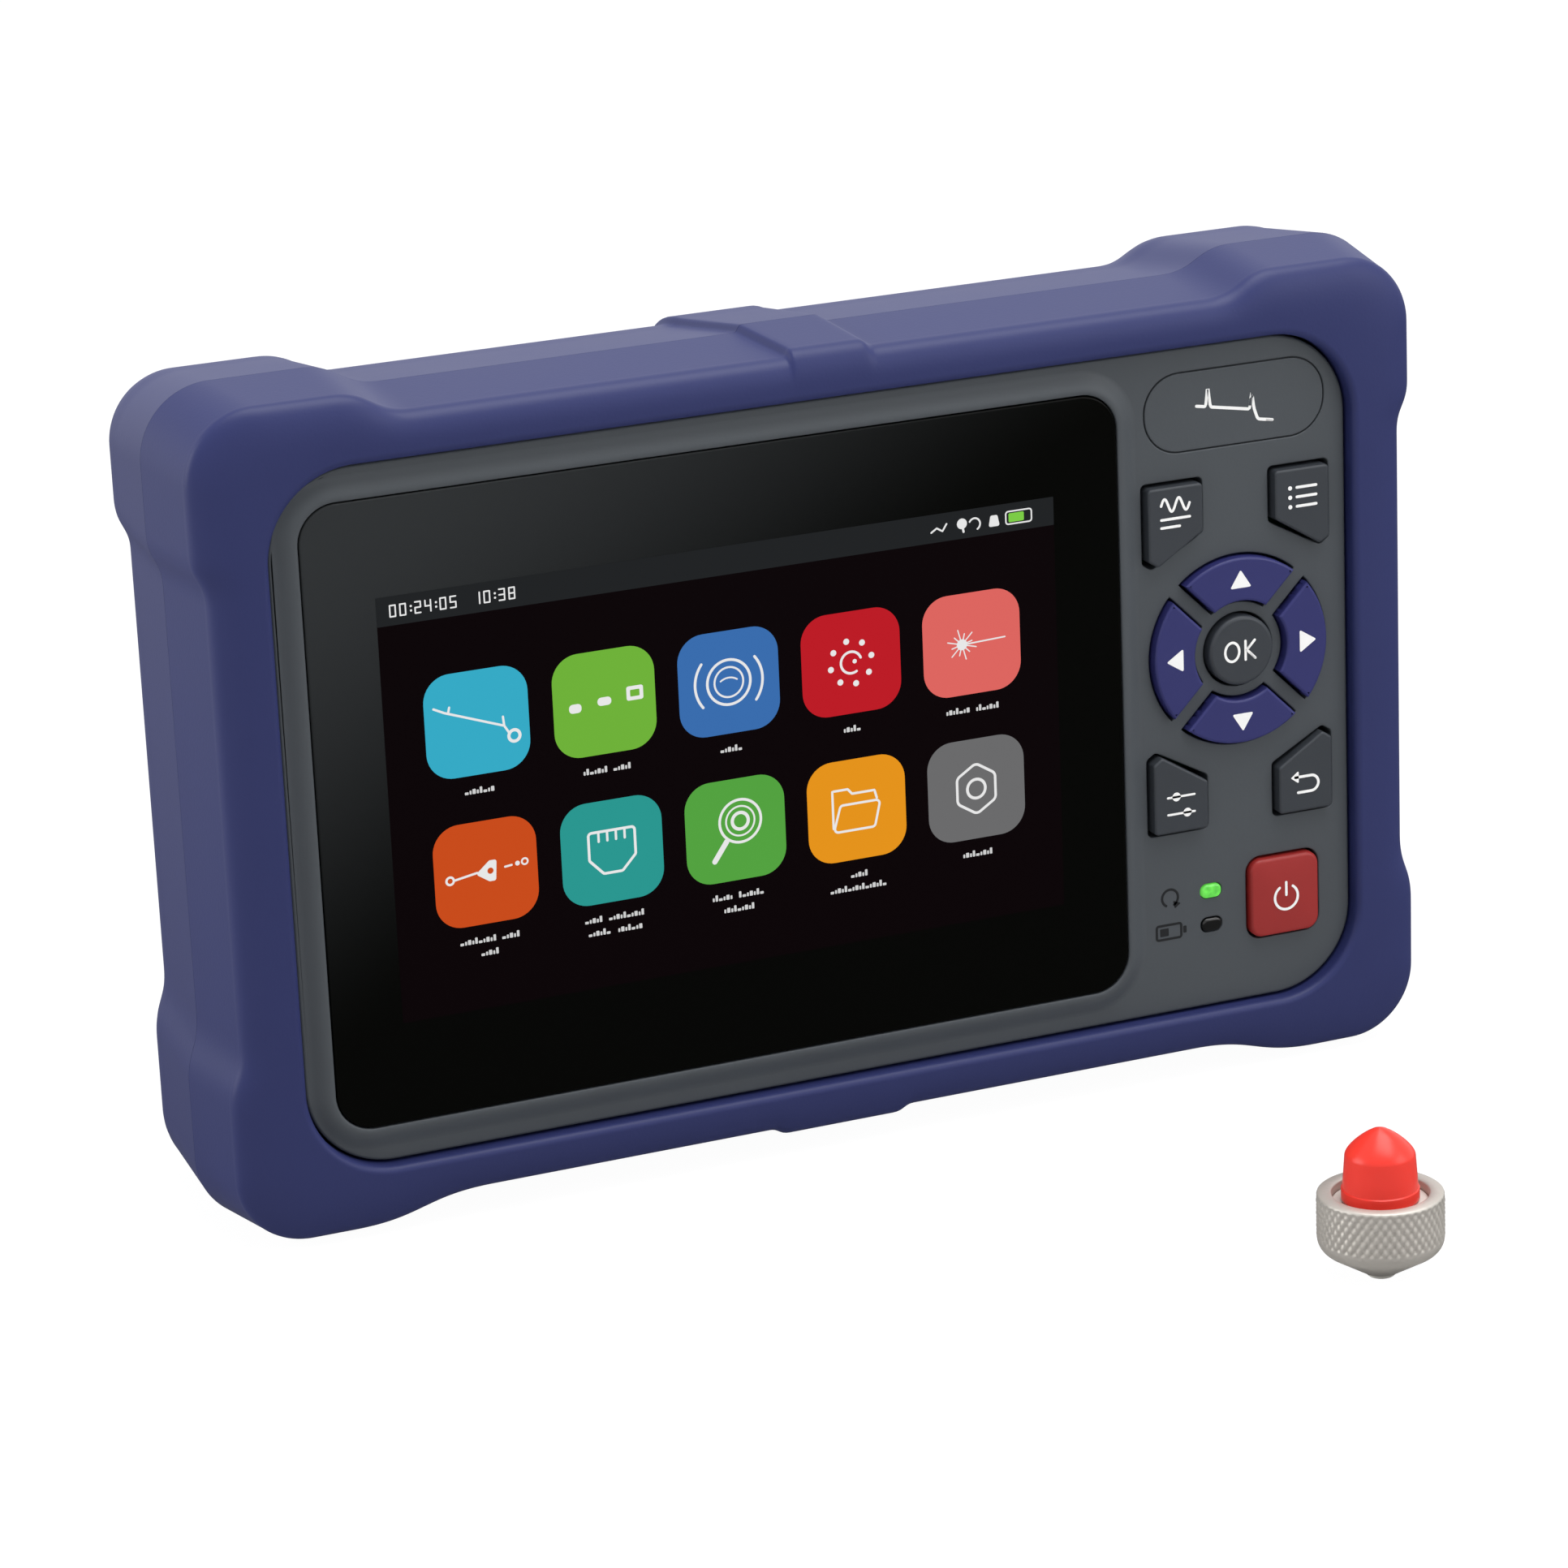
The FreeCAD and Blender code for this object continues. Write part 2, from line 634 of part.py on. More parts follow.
panel = panel.cut(holes)
board_front = panel_back + key_slack + key_flange_thick + post_long + key_travel + 0.1 + button_thick + switch_thick
for x, z in studs:
    panel = panel.fuse(box(x - stud_half, x + stud_half, panel_back - 0.5, board_front, z - stud_half, z + stud_half))
for x, z in bosses:
    panel = panel.fuse(box(x - post_half, x + post_half, panel_back - 0.5, main_depth, z - post_half, z + post_half))
save(panel, "front_panel")

# oval label plate
oval = slab(rounded_rect(oval_x, oval_z, oval_w - 0.3, oval_h - 0.3, oval_h * 0.48 - 0.15, panel_face), oval_thick)
save(oval, "label_plate")

# ======== screen stack ========
glass = slab(rounded_rect(glass_x, glass_z, glass_w, glass_h, glass_r, glass_face), glass_thick)
glass = bevel(glass, 0.25, lambda e: edge_in_plane(e, glass_face))
save(glass, "touch_glass")
gasket_depth = glass_face + glass_thick
gasket = slab(cut_rect(glass_x, glass_z, glass_w - 0.4, glass_h - 0.4, glass_r, gasket_depth), gasket_thick)
gasket = gasket.cut(box(lcd_x - lcd_w / 2 - lcd_fit, lcd_x + lcd_w / 2 + lcd_fit, 0, 9,
                        lcd_z - lcd_h / 2 - lcd_fit, lcd_z + lcd_h / 2 + lcd_fit))
save(gasket, "glass_gasket")
lcd = box(lcd_x - lcd_w / 2, lcd_x + lcd_w / 2, gasket_depth, gasket_depth + lcd_thick, lcd_z - lcd_h / 2, lcd_z + lcd_h / 2)
lcd = lcd.cut(box(lcd_x - view_w / 2, lcd_x + view_w / 2, 0, gasket_depth + view_deep,
                  lcd_z - view_h / 2, lcd_z + view_h / 2))
save(lcd, "lcd_module")

# ======== keys ========
key_face = panel_face - key_proud
flange_front = panel_back + key_slack


def key_post(x, z):
    """Square post behind a key, down to its switch."""
    start = flange_front + key_flange_thick
    return box(x - key_post_half, x + key_post_half, start - 0.2, start + post_long, z - key_post_half, z + key_post_half)


def key_body(cap_wire, flange_wire_, x, z, round_r):
    """Cap through the panel, a wider flange behind it and a post that works the switch."""
    cap = slab(cap_wire, flange_front - key_face)
    cap = bevel(cap, round_r, lambda e: edge_in_plane(e, key_face))
    key = cap.fuse(slab(flange_wire_, key_flange_thick))
    return key.fuse(key_post(x, z))


switch_places = []
for name, turn in arrow_keys:
    mid = (pad_inner_r + pad_r) / 2
    x, z = pad_x + mid * math.cos(turn), pad_z + mid * math.sin(turn)
    cap = sector(pad_inner_r, pad_r, rib_half + gap, turn, key_face, cap_chords)
    back = sector(pad_inner_r, pad_r + gap + key_flange, rib_half + gap - key_flange, turn, flange_front, flange_chords)
    save(key_body(cap, back, x, z, 0.3), name)
    switch_places.append((x, z))
for name, sx, sz in corner_keys:
    x = pad_x + sx * (fn_inner + fn_outer) / 2
    z = pad_z + sz * (fn_top + fn_mid) / 2
    cap = fn_wire(sx, sz, 0, key_face)
    back = fn_wire(sx, sz, gap + key_flange, flange_front)
    save(key_body(cap, back, x, z, 0.3), name)
    switch_places.append((x, z))

ok_back = 2 * (ok_r + gap + 0.2)
ok_cap = bevel(rod(pad_x, pad_z, ok_r, key_face, flange_front - key_face), 0.5, lambda e: edge_in_plane(e, key_face))
ok_flange = slab(cut_rect(pad_x, pad_z, ok_back, ok_back, ok_back * 0.293, flange_front), key_flange_thick)
ok_key = ok_cap.fuse([ok_flange, key_post(pad_x, pad_z)])
save(ok_key, "key_ok")
switch_places.append((pad_x, pad_z))

power_cap = slab(rounded_rect(power_x, power_z, power_w, power_h, power_r, key_face), flange_front - key_face)
power_key = bevel(power_cap, power_bevel, lambda e: edge_in_plane(e, key_face))
power_back = cut_rect(power_x, power_z, power_w + 2 * (gap + key_flange), power_h + 2 * (gap + key_flange),
                      power_r / 2, flange_front)
power_key = power_key.fuse(slab(power_back, key_flange_thick))
power_key = power_key.fuse(key_post(power_x, power_z))
save(power_key, "key_power")
switch_places.append((power_x, power_z))

# light pipes
for z, name in zip(led_z, ("lamp_upper", "lamp_lower")):
    lens = slab(cut_rect(led_x, z, led_w - 0.2, led_h - 0.2, led_cut, panel_face - led_proud),
                board_front - panel_face + led_proud)
    save(lens, name)

# ======== keypad board and main board ========
x0, x1 = pad_x + pad_board[0], pad_x + pad_board[1]
z0, z1 = pad_z + pad_board[2], pad_z + pad_board[3]
keypad = box(x0, x1, board_front, board_front + board_thick, z0, z1)
for x, z in switch_places:
    half = switch_size / 2 * 0.8
    keypad = keypad.fuse(box(x - half, x + half, board_front - switch_thick - button_thick, board_front,
                             z - half, z + half))
save(keypad, "keypad_board")

board = box(-main_w / 2, main_w / 2, main_depth, board_back, -main_h / 2, main_h / 2)
board = bevel(board, 3.0, lambda e: abs(e.BoundBox.YLength - main_thick) < 1e-6)
save(board, "main_board")
can = box(-can_w / 2, can_w / 2, board_back, board_back + can_thick, cover_z - can_h / 2, cover_z + can_h / 2)
can = bevel(can, 0.5, lambda e: edge_in_plane(e, board_back + can_thick))
save(can, "shield_can")
module_x = bay_x - bay_wall - module_w / 2
module = box(module_x - module_w / 2, module_x + module_w / 2, board_back, board_back + module_thick,
             bay_mid_z - module_h / 2, bay_mid_z + module_h / 2)
module = bevel(module, 1.0, lambda e: abs(e.BoundBox.YLength - module_thick) < 1e-6)
save(module, "optical_module")


def drum(r, depth, thick):
    """Disc of the fibre spool."""
    return slab(round_wire(r, round_flats, lambda u, v: at(spool_x + u, depth, v)), thick)


spool = drum(spool_r, board_back, spool_flange).fuse(drum(spool_core, board_back, spool_thick))
save(spool, "fibre_spool")
coil = drum(spool_r - 1.0, board_back + spool_flange, spool_thick - 2 * spool_flange)
save(coil.cut(drum(spool_core, board_back, spool_thick)), "fibre_coil")

# ======== battery and cover ========
battery = box(-battery_w / 2, battery_w / 2, battery_front, battery_back, cover_z - battery_h / 2, cover_z + battery_h / 2)
save(battery, "battery_pack")
cover = slab(rounded_rect(0, cover_z, cover_w, cover_h, cover_r, cover_seat), cover_thick)
cover = bevel(cover, 0.5, lambda e: edge_in_plane(e, case_thick))
for i in range(groove_count):
    z = cover_z - cover_h / 2 + groove_low + i * groove_pitch
    groove = Part.makePolygon([at(-groove_long / 2, case_thick - groove_deep, z), at(-groove_long / 2, case_thick + 0.1,
                              z - groove_deep), at(-groove_long / 2, case_thick + 0.1, z + groove_deep),
                              at(-groove_long / 2, case_thick - groove_deep, z)])
    cover = cover.cut(Part.Face(groove).extrude(V(groove_long, 0, 0)))
save(cover, "battery_cover")

# ======== folding stand ========
stand = slab(stand_outer(0, stand_front), stand_thick)
stand = stand.cut(slab(stand_window(0, hinge_z + 5, stand_front - 1), stand_thick + 2))
for side in (-1, 1):
    barrel = Part.makeCylinder(stand_thick / 2, stand_arm, at(side * arm_in, hinge_depth, hinge_z), V(side, 0, 0))
    pin = Part.makeCylinder(pin_r, stand_fit + pin_deep + 1, at(side * (stand_w / 2 - 1), hinge_depth, hinge_z),
                            V(side, 0, 0))
    stand = stand.fuse([barrel, pin])
save(stand.removeSplitter(), "stand")

# ======== optical ports and their caps ========
port_names = ("test_port", "meter_port", "fault_light_port")


def side_drum(r, x, z, long):
    """Barrel along +X in the port bay."""
    return Part.Face(round_wire(r, cap_flats, lambda u, v: at(x, bay_depth + u, z + v))).extrude(V(long, 0, 0))


for z, name in zip(port_z, port_names):
    flange = box(bay_x, bay_x + port_flange_thick, bay_depth - port_flange / 2, bay_depth + port_flange / 2,
                 z - port_flange / 2, z + port_flange / 2)
    flange = bevel(flange, 1.2, lambda e: abs(e.BoundBox.XLength - port_flange_thick) < 1e-6)
    barrel = side_drum(port_r, bay_x, z, port_flange_thick + port_long)
    bore = Part.makeCylinder(port_bore_r, port_long, at(bay_x + port_flange_thick, bay_depth, z), V(1, 0, 0))
    save(flange.fuse(barrel).cut(bore), name)
    cap_start = bay_x + port_flange_thick + 0.3
    cap_r = port_r + cap_fit + cap_wall
    inside = side_drum(port_r + cap_fit, cap_start - 1, z, port_long + 1.0)
    save(side_drum(cap_r, cap_start, z, cap_long).cut(inside), name.replace("port", "cap"))

# ======== sockets and flap ========
usb = box(flap_back - socket_deep, flap_back - 0.2, socket_depth - usb_high / 2 + 0.1, socket_depth + usb_high / 2 - 0.1,
          usb_z - usb_long / 2 + 0.1, usb_z + usb_long / 2 - 0.1)
usb = bevel(usb, usb_high / 3, lambda e: abs(e.BoundBox.XLength - socket_deep + 0.2) < 1e-6)
mouth = box(flap_back - socket_deep + 1, flap_back + 1, socket_depth - usb_high / 2 + 0.45,
            socket_depth + usb_high / 2 - 0.45, usb_z - usb_long / 2 + 0.6, usb_z + usb_long / 2 - 0.6)
tongue = box(flap_back - socket_deep + 0.5, flap_back - 1.2, socket_depth - 0.35, socket_depth + 0.35,
             usb_z - usb_long / 2 + 1.6, usb_z + usb_long / 2 - 1.6)
save(usb.cut(mouth).fuse(tongue), "usb_socket")
jack = Part.makeCylinder(jack_r - 0.1, socket_deep - 0.2, at(flap_back - socket_deep, socket_depth, jack_z), V(1, 0, 0))
jack = jack.cut(Part.makeCylinder(jack_bore_r, socket_deep, at(flap_back - socket_deep + 1, socket_depth, jack_z),
                                  V(1, 0, 0)))
save(jack, "charge_socket")

flap_axis = flap_depth[0] + flap_thick / 2
flap_mid_x = side_x - flap_thick / 2
flap = box(flap_mid_x - flap_thick / 2, flap_mid_x + flap_thick / 2, flap_axis, flap_depth[1], flap_z[0], flap_z[1])
flap = soften(flap, flap_r, lambda e: abs(e.BoundBox.XLength - flap_thick) < 1e-6 and
              e.BoundBox.YMin > flap_axis - half_thick + 1)
hinge_roll = Part.makeCylinder(flap_thick / 2, flap_z[1] - flap_z[0], at(flap_mid_x, flap_axis, flap_z[0]), V(0, 0, 1))
flap = flap.fuse(hinge_roll).removeSplitter()
save(flap, "socket_flap")

# ======== spare port adapter ========
def turned(points, x, y):
    """Solid of revolution about a vertical axis from (radius, height) points."""
    profile = Part.makePolygon([V(r, 0, z) for r, z in points] + [V(points[0][0], 0, points[0][1])])
    solid = Part.Face(profile).revolve(V(0, 0, 0), V(0, 0, 1), 360)
    solid.translate(V(x, y, 0))
    return solid


def turned_outside(sections):
    """Outside of a turned piece through its (radius, height) sections, in short flats."""
    rings = [round_wire(r, spare_flats, lambda u, v: V(spare_x + u, spare_y + v, high)) for r, high in sections]
    faces = [Part.Face(rings[0]), Part.Face(rings[-1])]
    for low, high in zip(rings, rings[1:]):
        for a, b in zip(low.OrderedEdges, high.OrderedEdges):
            p, q, r, t = a.Vertexes[0].Point, a.Vertexes[1].Point, b.Vertexes[1].Point, b.Vertexes[0].Point
            faces.append(Part.Face(Part.makePolygon([p, q, r, t, p])))
    solid = Part.Solid(Part.Shell(faces))
    solid.fix(1e-6, 1e-6, 1e-6)
    return solid


round_points = []
cone_slope = math.atan2(ring_wall_z - nipple_long, ring_r - nipple_r)
for i in range(3):
    a = math.pi / 2 - cone_slope
    turn = -a + a * i / 2
    round_points.append((ring_r - ring_round + ring_round * math.cos(turn),
                         ring_wall_z + 0.55 + ring_round * math.sin(turn)))
recess_z = ring_top - recess_deep
ring = turned_outside([(nipple_r + ring_land, nipple_long)] + round_points + [(ring_r, ring_top)])
for r, low, top in ((nipple_r + core_fit, 0, core_low + 1), (core_r + core_fit, core_low, recess_z + 1),
                    (recess_r, recess_z, ring_top + 1)):
    ring = ring.cut(Part.makeCylinder(r, top - low, V(spare_x, spare_y, low)))
save(ring, "adapter_ring")
core = turned([(port_bore_r, 0), (nipple_r, 0), (nipple_r, core_low), (core_r, core_low), (core_r, recess_z),
               (tube_r, recess_z), (tube_r, recess_z + tube_long), (port_bore_r, recess_z + tube_long)],
              spare_x, spare_y)
save(core, "adapter_core")

cap_low = recess_z + spare_cap_gap
cap_top = cap_low + spare_cap_long
wall_top = cap_low + 0.6 * spare_cap_long
inner_r = tube_r + spare_cap_wall_fit
inner_top = recess_z + tube_long + spare_cap_gap
rise = cap_top - wall_top
spare_cap = turned_outside([(spare_cap_r, cap_low), (spare_cap_upper_r, wall_top),
                            (spare_cap_upper_r * 0.72, wall_top + 0.55 * rise), (spare_cap_tip_r, cap_top)])
spare_cap = spare_cap.cut(Part.makeCylinder(inner_r, inner_top - cap_low + 1, V(spare_x, spare_y, cap_low - 1)))
save(spare_cap, "spare_cap")
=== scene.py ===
import math
import bmesh
import bpy
import numpy as np
from mathutils import Matrix
from mathutils.geometry import delaunay_2d_cdt


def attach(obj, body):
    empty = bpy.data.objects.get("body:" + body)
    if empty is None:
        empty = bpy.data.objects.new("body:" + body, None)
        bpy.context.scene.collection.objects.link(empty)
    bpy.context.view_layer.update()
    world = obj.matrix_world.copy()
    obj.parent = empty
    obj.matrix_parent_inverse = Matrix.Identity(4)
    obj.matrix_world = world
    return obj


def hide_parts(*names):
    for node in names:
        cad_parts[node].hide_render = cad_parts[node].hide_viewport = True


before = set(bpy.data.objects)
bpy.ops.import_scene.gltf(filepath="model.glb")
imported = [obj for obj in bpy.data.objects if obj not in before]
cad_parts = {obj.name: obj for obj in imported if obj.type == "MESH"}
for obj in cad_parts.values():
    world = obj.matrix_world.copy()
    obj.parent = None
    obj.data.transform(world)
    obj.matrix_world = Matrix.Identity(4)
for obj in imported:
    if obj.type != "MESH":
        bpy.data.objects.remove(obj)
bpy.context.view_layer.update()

# ---- camera ----
# Standing a little left of the instrument and above it, with a long lens, turned slightly.
camera = bpy.data.objects.new("camera", bpy.data.cameras.new("camera"))
camera.matrix_world = (Matrix.Translation((-0.2678037, -0.6531360, 0.2695486))
                       @ Matrix.Rotation(math.radians(-22.25594748), 4, "Z")
                       @ Matrix.Rotation(math.radians(90 - 17.61180287), 4, "X")
                       @ Matrix.Rotation(math.radians(-2.4733796), 4, "Z"))
camera.data.lens = 127.04
camera.data.sensor_width = 36
bpy.context.collection.objects.link(camera)
bpy.context.scene.camera = camera
bpy.context.scene.view_settings.view_transform = "Standard"

# ---- studio ----
# A pale floor, one broad soft light overhead, weaker ones in front and on the left, and even light
# from all round.
floor_mesh = bpy.data.meshes.new("floor")
floor_mesh.from_pydata([(-6, -6, 0), (6, -6, 0), (6, 6, 0), (-6, 6, 0)], [], [(0, 1, 2, 3)])
floor = bpy.data.objects.new("floor", floor_mesh)
bpy.context.collection.objects.link(floor)


def node(tree, kind, inputs=(), **settings):
    """Shader node with the given (input, value) pairs and settings."""
    made = tree.nodes.new(kind)
    for label, value in settings.items():
        setattr(made, label, value)
    for label, value in inputs:
        made.inputs[label].default_value = value
    return made


def blank_finish(name):
    """New material: itself, its node tree and its surface shader."""
    made = bpy.data.materials.new(name)
    made.use_nodes = True
    return made, made.node_tree, made.node_tree.nodes["Principled BSDF"]


def is_one_of(tree, *kinds):
    """1 for rays of the named kinds, else 0."""
    path = node(tree, "ShaderNodeLightPath")
    found = path.outputs[kinds[0]]
    for kind in kinds[1:]:
        either = node(tree, "ShaderNodeMath", operation="MAXIMUM")
        tree.links.new(found, either.inputs[0])
        tree.links.new(path.outputs[kind], either.inputs[1])
        found = either.outputs[0]
    return found


def glow(tree, kind, strength):
    """White light of one strength."""
    return node(tree, kind, (("Color", (1, 1, 1, 1)), ("Strength", strength))).outputs[0]


def mixed(tree, factor, off, on):
    """One shader where factor is 0, the other where it is 1."""
    blend = node(tree, "ShaderNodeMixShader")
    if isinstance(factor, float):
        blend.inputs["Fac"].default_value = factor
    else:
        tree.links.new(factor, blend.inputs["Fac"])
    tree.links.new(off, blend.inputs[1])
    tree.links.new(on, blend.inputs[2])
    return blend.outputs[0]


# the floor is a plain pale surface for the light; looked at it is near white, and dim in reflections
floor_paint, tree, paint = blank_finish("floor")
paint.inputs["Base Color"].default_value = (0.78, 0.78, 0.78, 1)
paint.inputs["Roughness"].default_value = 0.9
paint.inputs["Specular IOR Level"].default_value = 0.0
looked_at = mixed(tree, 0.88, paint.outputs[0], glow(tree, "ShaderNodeEmission", 1.1))
surface = mixed(tree, is_one_of(tree, "Is Camera Ray", "Is Transmission Ray"), paint.outputs[0], looked_at)
dim = glow(tree, "ShaderNodeEmission", 0.15)
place = node(tree, "ShaderNodeNewGeometry")
across = node(tree, "ShaderNodeSeparateXYZ")
fade = node(tree, "ShaderNodeMapRange", (("From Min", -0.05), ("From Max", -0.4), ("To Min", 0.15), ("To Max", 1.0)))
tree.links.new(place.outputs["Position"], across.inputs[0])
tree.links.new(across.outputs["X"], fade.inputs["Value"])
tree.links.new(fade.outputs["Result"], dim.node.inputs["Strength"])
surface = mixed(tree, is_one_of(tree, "Is Glossy Ray"), surface, dim)
tree.links.new(surface, tree.nodes["Material Output"].inputs["Surface"])
floor_mesh.materials.append(floor_paint)

world = bpy.data.worlds.new("studio")
bpy.context.scene.world = world
world.use_nodes = True
tree = world.node_tree
tree.nodes.remove(tree.nodes["Background"])
sky = mixed(tree, is_one_of(tree, "Is Camera Ray", "Is Transmission Ray"),
            glow(tree, "ShaderNodeBackground", 0.36), glow(tree, "ShaderNodeBackground", 1.0))
sky = mixed(tree, is_one_of(tree, "Is Glossy Ray"), sky, glow(tree, "ShaderNodeBackground", 1.05))
tree.links.new(sky, tree.nodes["World Output"].inputs["Surface"])

for name, place, aim, size, power in (("overhead", (0.3, -0.2, 1.45), (0, 0, 0.05), 1.1, 21.0),
                                      ("front", (0.5, -0.5, 0.35), (0, 0, 0.06), 0.4, 1.35),
                                      ("left", (-1.5, 0.35, 0.5), (0, 0, 0.05), 1.0, 12.0)):
    lamp = bpy.data.lights.new(name, "AREA")
    lamp.shape = "SQUARE"
    lamp.size = size
    lamp.energy = power
    holder = bpy.data.objects.new(name, lamp)
    away = Matrix.Translation(place).to_translation() - Matrix.Translation(aim).to_translation()
    holder.rotation_euler = away.to_track_quat("Z", "Y").to_euler()
    holder.location = place
    bpy.context.collection.objects.link(holder)

# ---- front shell ----
# Blue impact-proof moulding. It frames the panel with a rounded lip, swells into bumps at the four
# corners and widens to a crease where the rear shell starts.
waist_x, waist_z, mid_z, half_thick = 85.2, 53.0, 56.0, 19.5
crease = 15.0


def on_front(u, v, d):
    """World metres from millimetres: u across, v up from the case's middle, d back from its front rim."""
    return np.stack(np.broadcast_arrays(np.asarray(u, float), np.asarray(d, float) - half_thick,
                                        np.asarray(v, float) + mid_z), -1) / 1000


def case_outline(depth, inset_x, inset_z, foot, corner):
    """Section of the case, one row for each depth. Straight runs join swings, whose rise follows
    3t^2 - 2t^3, and quarter circles at the corners."""
    depth, inset_x, inset_z, foot, corner = [np.asarray(v, float)[:, None] for v in
                                             (depth, inset_x, inset_z, foot, corner)]
    w, h = waist_x - inset_x, waist_z - inset_z
    px, top, low, r = w + 1.7, h + 3.0, -foot, 9.5 - corner
    t = depth / 39.0
    left, right = -3.6 - 5.0 * t, 5.4 - 2.2 * t
    up, down = h + 1.0, -h - 0.9
    xs, zs = [], []

    def run(x0, z0, x1, z1, n, flat=None):
        s = np.arange(n) / n
        along = across = s
        if flat:
            along, across = 1.5 * s * (1 - s) ** 2 + 1.5 * s ** 2 * (1 - s) + s ** 3, 3 * s ** 2 - 2 * s ** 3
        fx, fz = (across, along) if flat == "z" else (along, across)
        xs.append(x0 + (x1 - x0) * fx + 0 * depth)
        zs.append(z0 + (z1 - z0) * fz + 0 * depth)

    def bend(cx, cz, start, n=22):
        a = math.radians(start) - math.pi / 2 * np.arange(n) / n
        xs.append(cx + r * np.cos(a))
        zs.append(cz + r * np.sin(a))

    tw, lw, su, sd = (55.0, 65.5), (51.0, 70.0), (30.5, 37.5), (26.5, 36.0)
    run(-px + r, top, -tw[1], top, 14)
    run(-tw[1], top, -tw[0], h, 26, "x")
    run(-tw[0], h, left - 1.2, h, 60)
    run(left - 1.2, h, left, up, 8, "x")
    run(left, up, right, up, 12)
    run(right, up, right + 2.2, h, 10, "x")
    run(right + 2.2, h, tw[0], h, 60)
    run(tw[0], h, tw[1], top, 26, "x")
    run(tw[1], top, px - r, top, 14)
    bend(px - r, top - r, 90)
    run(px, top - r, px, su[1], 12)
    run(px, su[1], w, su[0], 20, "z")
    run(w, su[0], w, -sd[0], 60)
    run(w, -sd[0], px, -sd[1], 24, "z")
    run(px, -sd[1], px, low + r, 14)
    bend(px - r, low + r, 0)
    run(px - r, low, lw[1], low, 10)
    run(lw[1], low, lw[0], -h, 34, "x")
    run(lw[0], -h, 9.0, -h, 50)
    run(9.0, -h, 6.0, down, 8, "x")
    run(6.0, down, -9.0, down, 14)
    run(-9.0, down, -12.0, -h, 8, "x")
    run(-12.0, -h, -lw[0], -h, 50)
    run(-lw[0], -h, -lw[1], low, 34, "x")
    run(-lw[1], low, -px + r, low, 10)
    bend(-px + r, low + r, -90)
    run(-px, low + r, -px, -sd[1], 14)
    run(-px, -sd[1], -w, -sd[0], 24, "z")
    run(-w, -sd[0], -w, su[0], 60)
    run(-w, su[0], -px, su[1], 20, "z")
    run(-px, su[1], -px, top - r, 12)
    bend(-px + r, top - r, 180)
    return np.concatenate(xs, 1), np.concatenate(zs, 1)


def nearest_frame(x, z, half_x, half_z, r):
    """Nearest point of a rounded rectangle: clamp to its core rectangle, then step out by its radius."""
    qx = np.clip(x, -half_x + r, half_x - r)
    qz = np.clip(z, -half_z + r, half_z - r)
    away = np.hypot(x - qx, z - qz)
    return qx + r * (x - qx) / away, qz + r * (z - qz) / away


def skin(rings, closed=True):
    """Vertices and quads of a surface through rings of equal length, closed along the rings and,
    if asked, from the last ring back to the first."""
    rows, n = rings.shape[:2]
    i = np.arange(rows if closed else rows - 1)[:, None]
    j = np.arange(n)[None, :]
    k, m = (i + 1) % rows, (j + 1) % n
    quads = np.stack([i * n + j, i * n + m, k * n + m, k * n + j], -1).reshape(-1, 4)
    return rings.reshape(-1, 3), quads.tolist()


def crease_edges(mesh, sharp):
    """Normals outwards; sharp over the given angle, and wherever a filled flat meets a strip of quads."""
    solid = bmesh.new()
    solid.from_mesh(mesh)
    bmesh.ops.recalc_face_normals(solid, faces=solid.faces)
    solid.normal_update()
    for face in solid.faces:
        face.smooth = True
    for edge in solid.edges:
        if len(edge.link_faces) == 2:
            one, two = edge.link_faces
            angle = one.normal.angle(two.normal, 0)
            mixed_kinds = (len(one.verts) == 4) != (len(two.verts) == 4)
            edge.smooth = angle < math.radians(sharp) and not (mixed_kinds and angle > 0.05)
    solid.to_mesh(mesh)
    solid.free()


def piece(name, shapes, body, finishes, sharp=32, choose=None):
    """One object from (vertices, faces) pairs, with its faces turned outwards."""
    mesh = bpy.data.meshes.new(name)
    points, faces, start = [], [], 0
    for verts, polys in shapes:
        points.append(verts)
        faces += [[start + v for v in poly] for poly in polys]
        start += len(verts)
    mesh.from_pydata(np.concatenate(points).tolist(), [], faces)
    for finish in finishes:
        mesh.materials.append(finish)
    if choose is not None:
        mesh.polygons.foreach_set("material_index", np.asarray(choose, dtype=np.int32))
    crease_edges(mesh, sharp)
    made = bpy.data.objects.new(name, mesh)
    bpy.context.collection.objects.link(made)
    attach(made, body)
    return made


# moulded surface: fine spark-eroded grain, and a colour and gloss that wander a little
moulded = bpy.data.node_groups.new("moulded_surface", "ShaderNodeTree")
for label, kind, value in (("Colour", "NodeSocketColor", (0.5, 0.5, 0.5, 1)),
                           ("Grain Scale", "NodeSocketFloat", 2600.0), ("Grain Depth", "NodeSocketFloat", 0.1),
                           ("Roughness", "NodeSocketFloat", 0.5), ("Wander", "NodeSocketFloat", 0.08)):
    moulded.interface.new_socket(label, in_out="INPUT", socket_type=kind).default_value = value
for label, kind in (("Colour", "NodeSocketColor"), ("Roughness", "NodeSocketFloat"),
                    ("Normal", "NodeSocketVector")):
    moulded.interface.new_socket(label, in_out="OUTPUT", socket_type=kind)
enter = node(moulded, "NodeGroupInput")
leave = node(moulded, "NodeGroupOutput")
where = node(moulded, "ShaderNodeTexCoord")
grain = node(moulded, "ShaderNodeTexNoise", [("Detail", 2.0)])
bump = node(moulded, "ShaderNodeBump", [("Distance", 0.0001)])
cloud = node(moulded, "ShaderNodeTexNoise", (("Scale", 55.0), ("Detail", 4.0)))
spread = node(moulded, "ShaderNodeMapRange", (("To Min", -0.5), ("To Max", 0.5)))
drift = node(moulded, "ShaderNodeMath", operation="MULTIPLY")
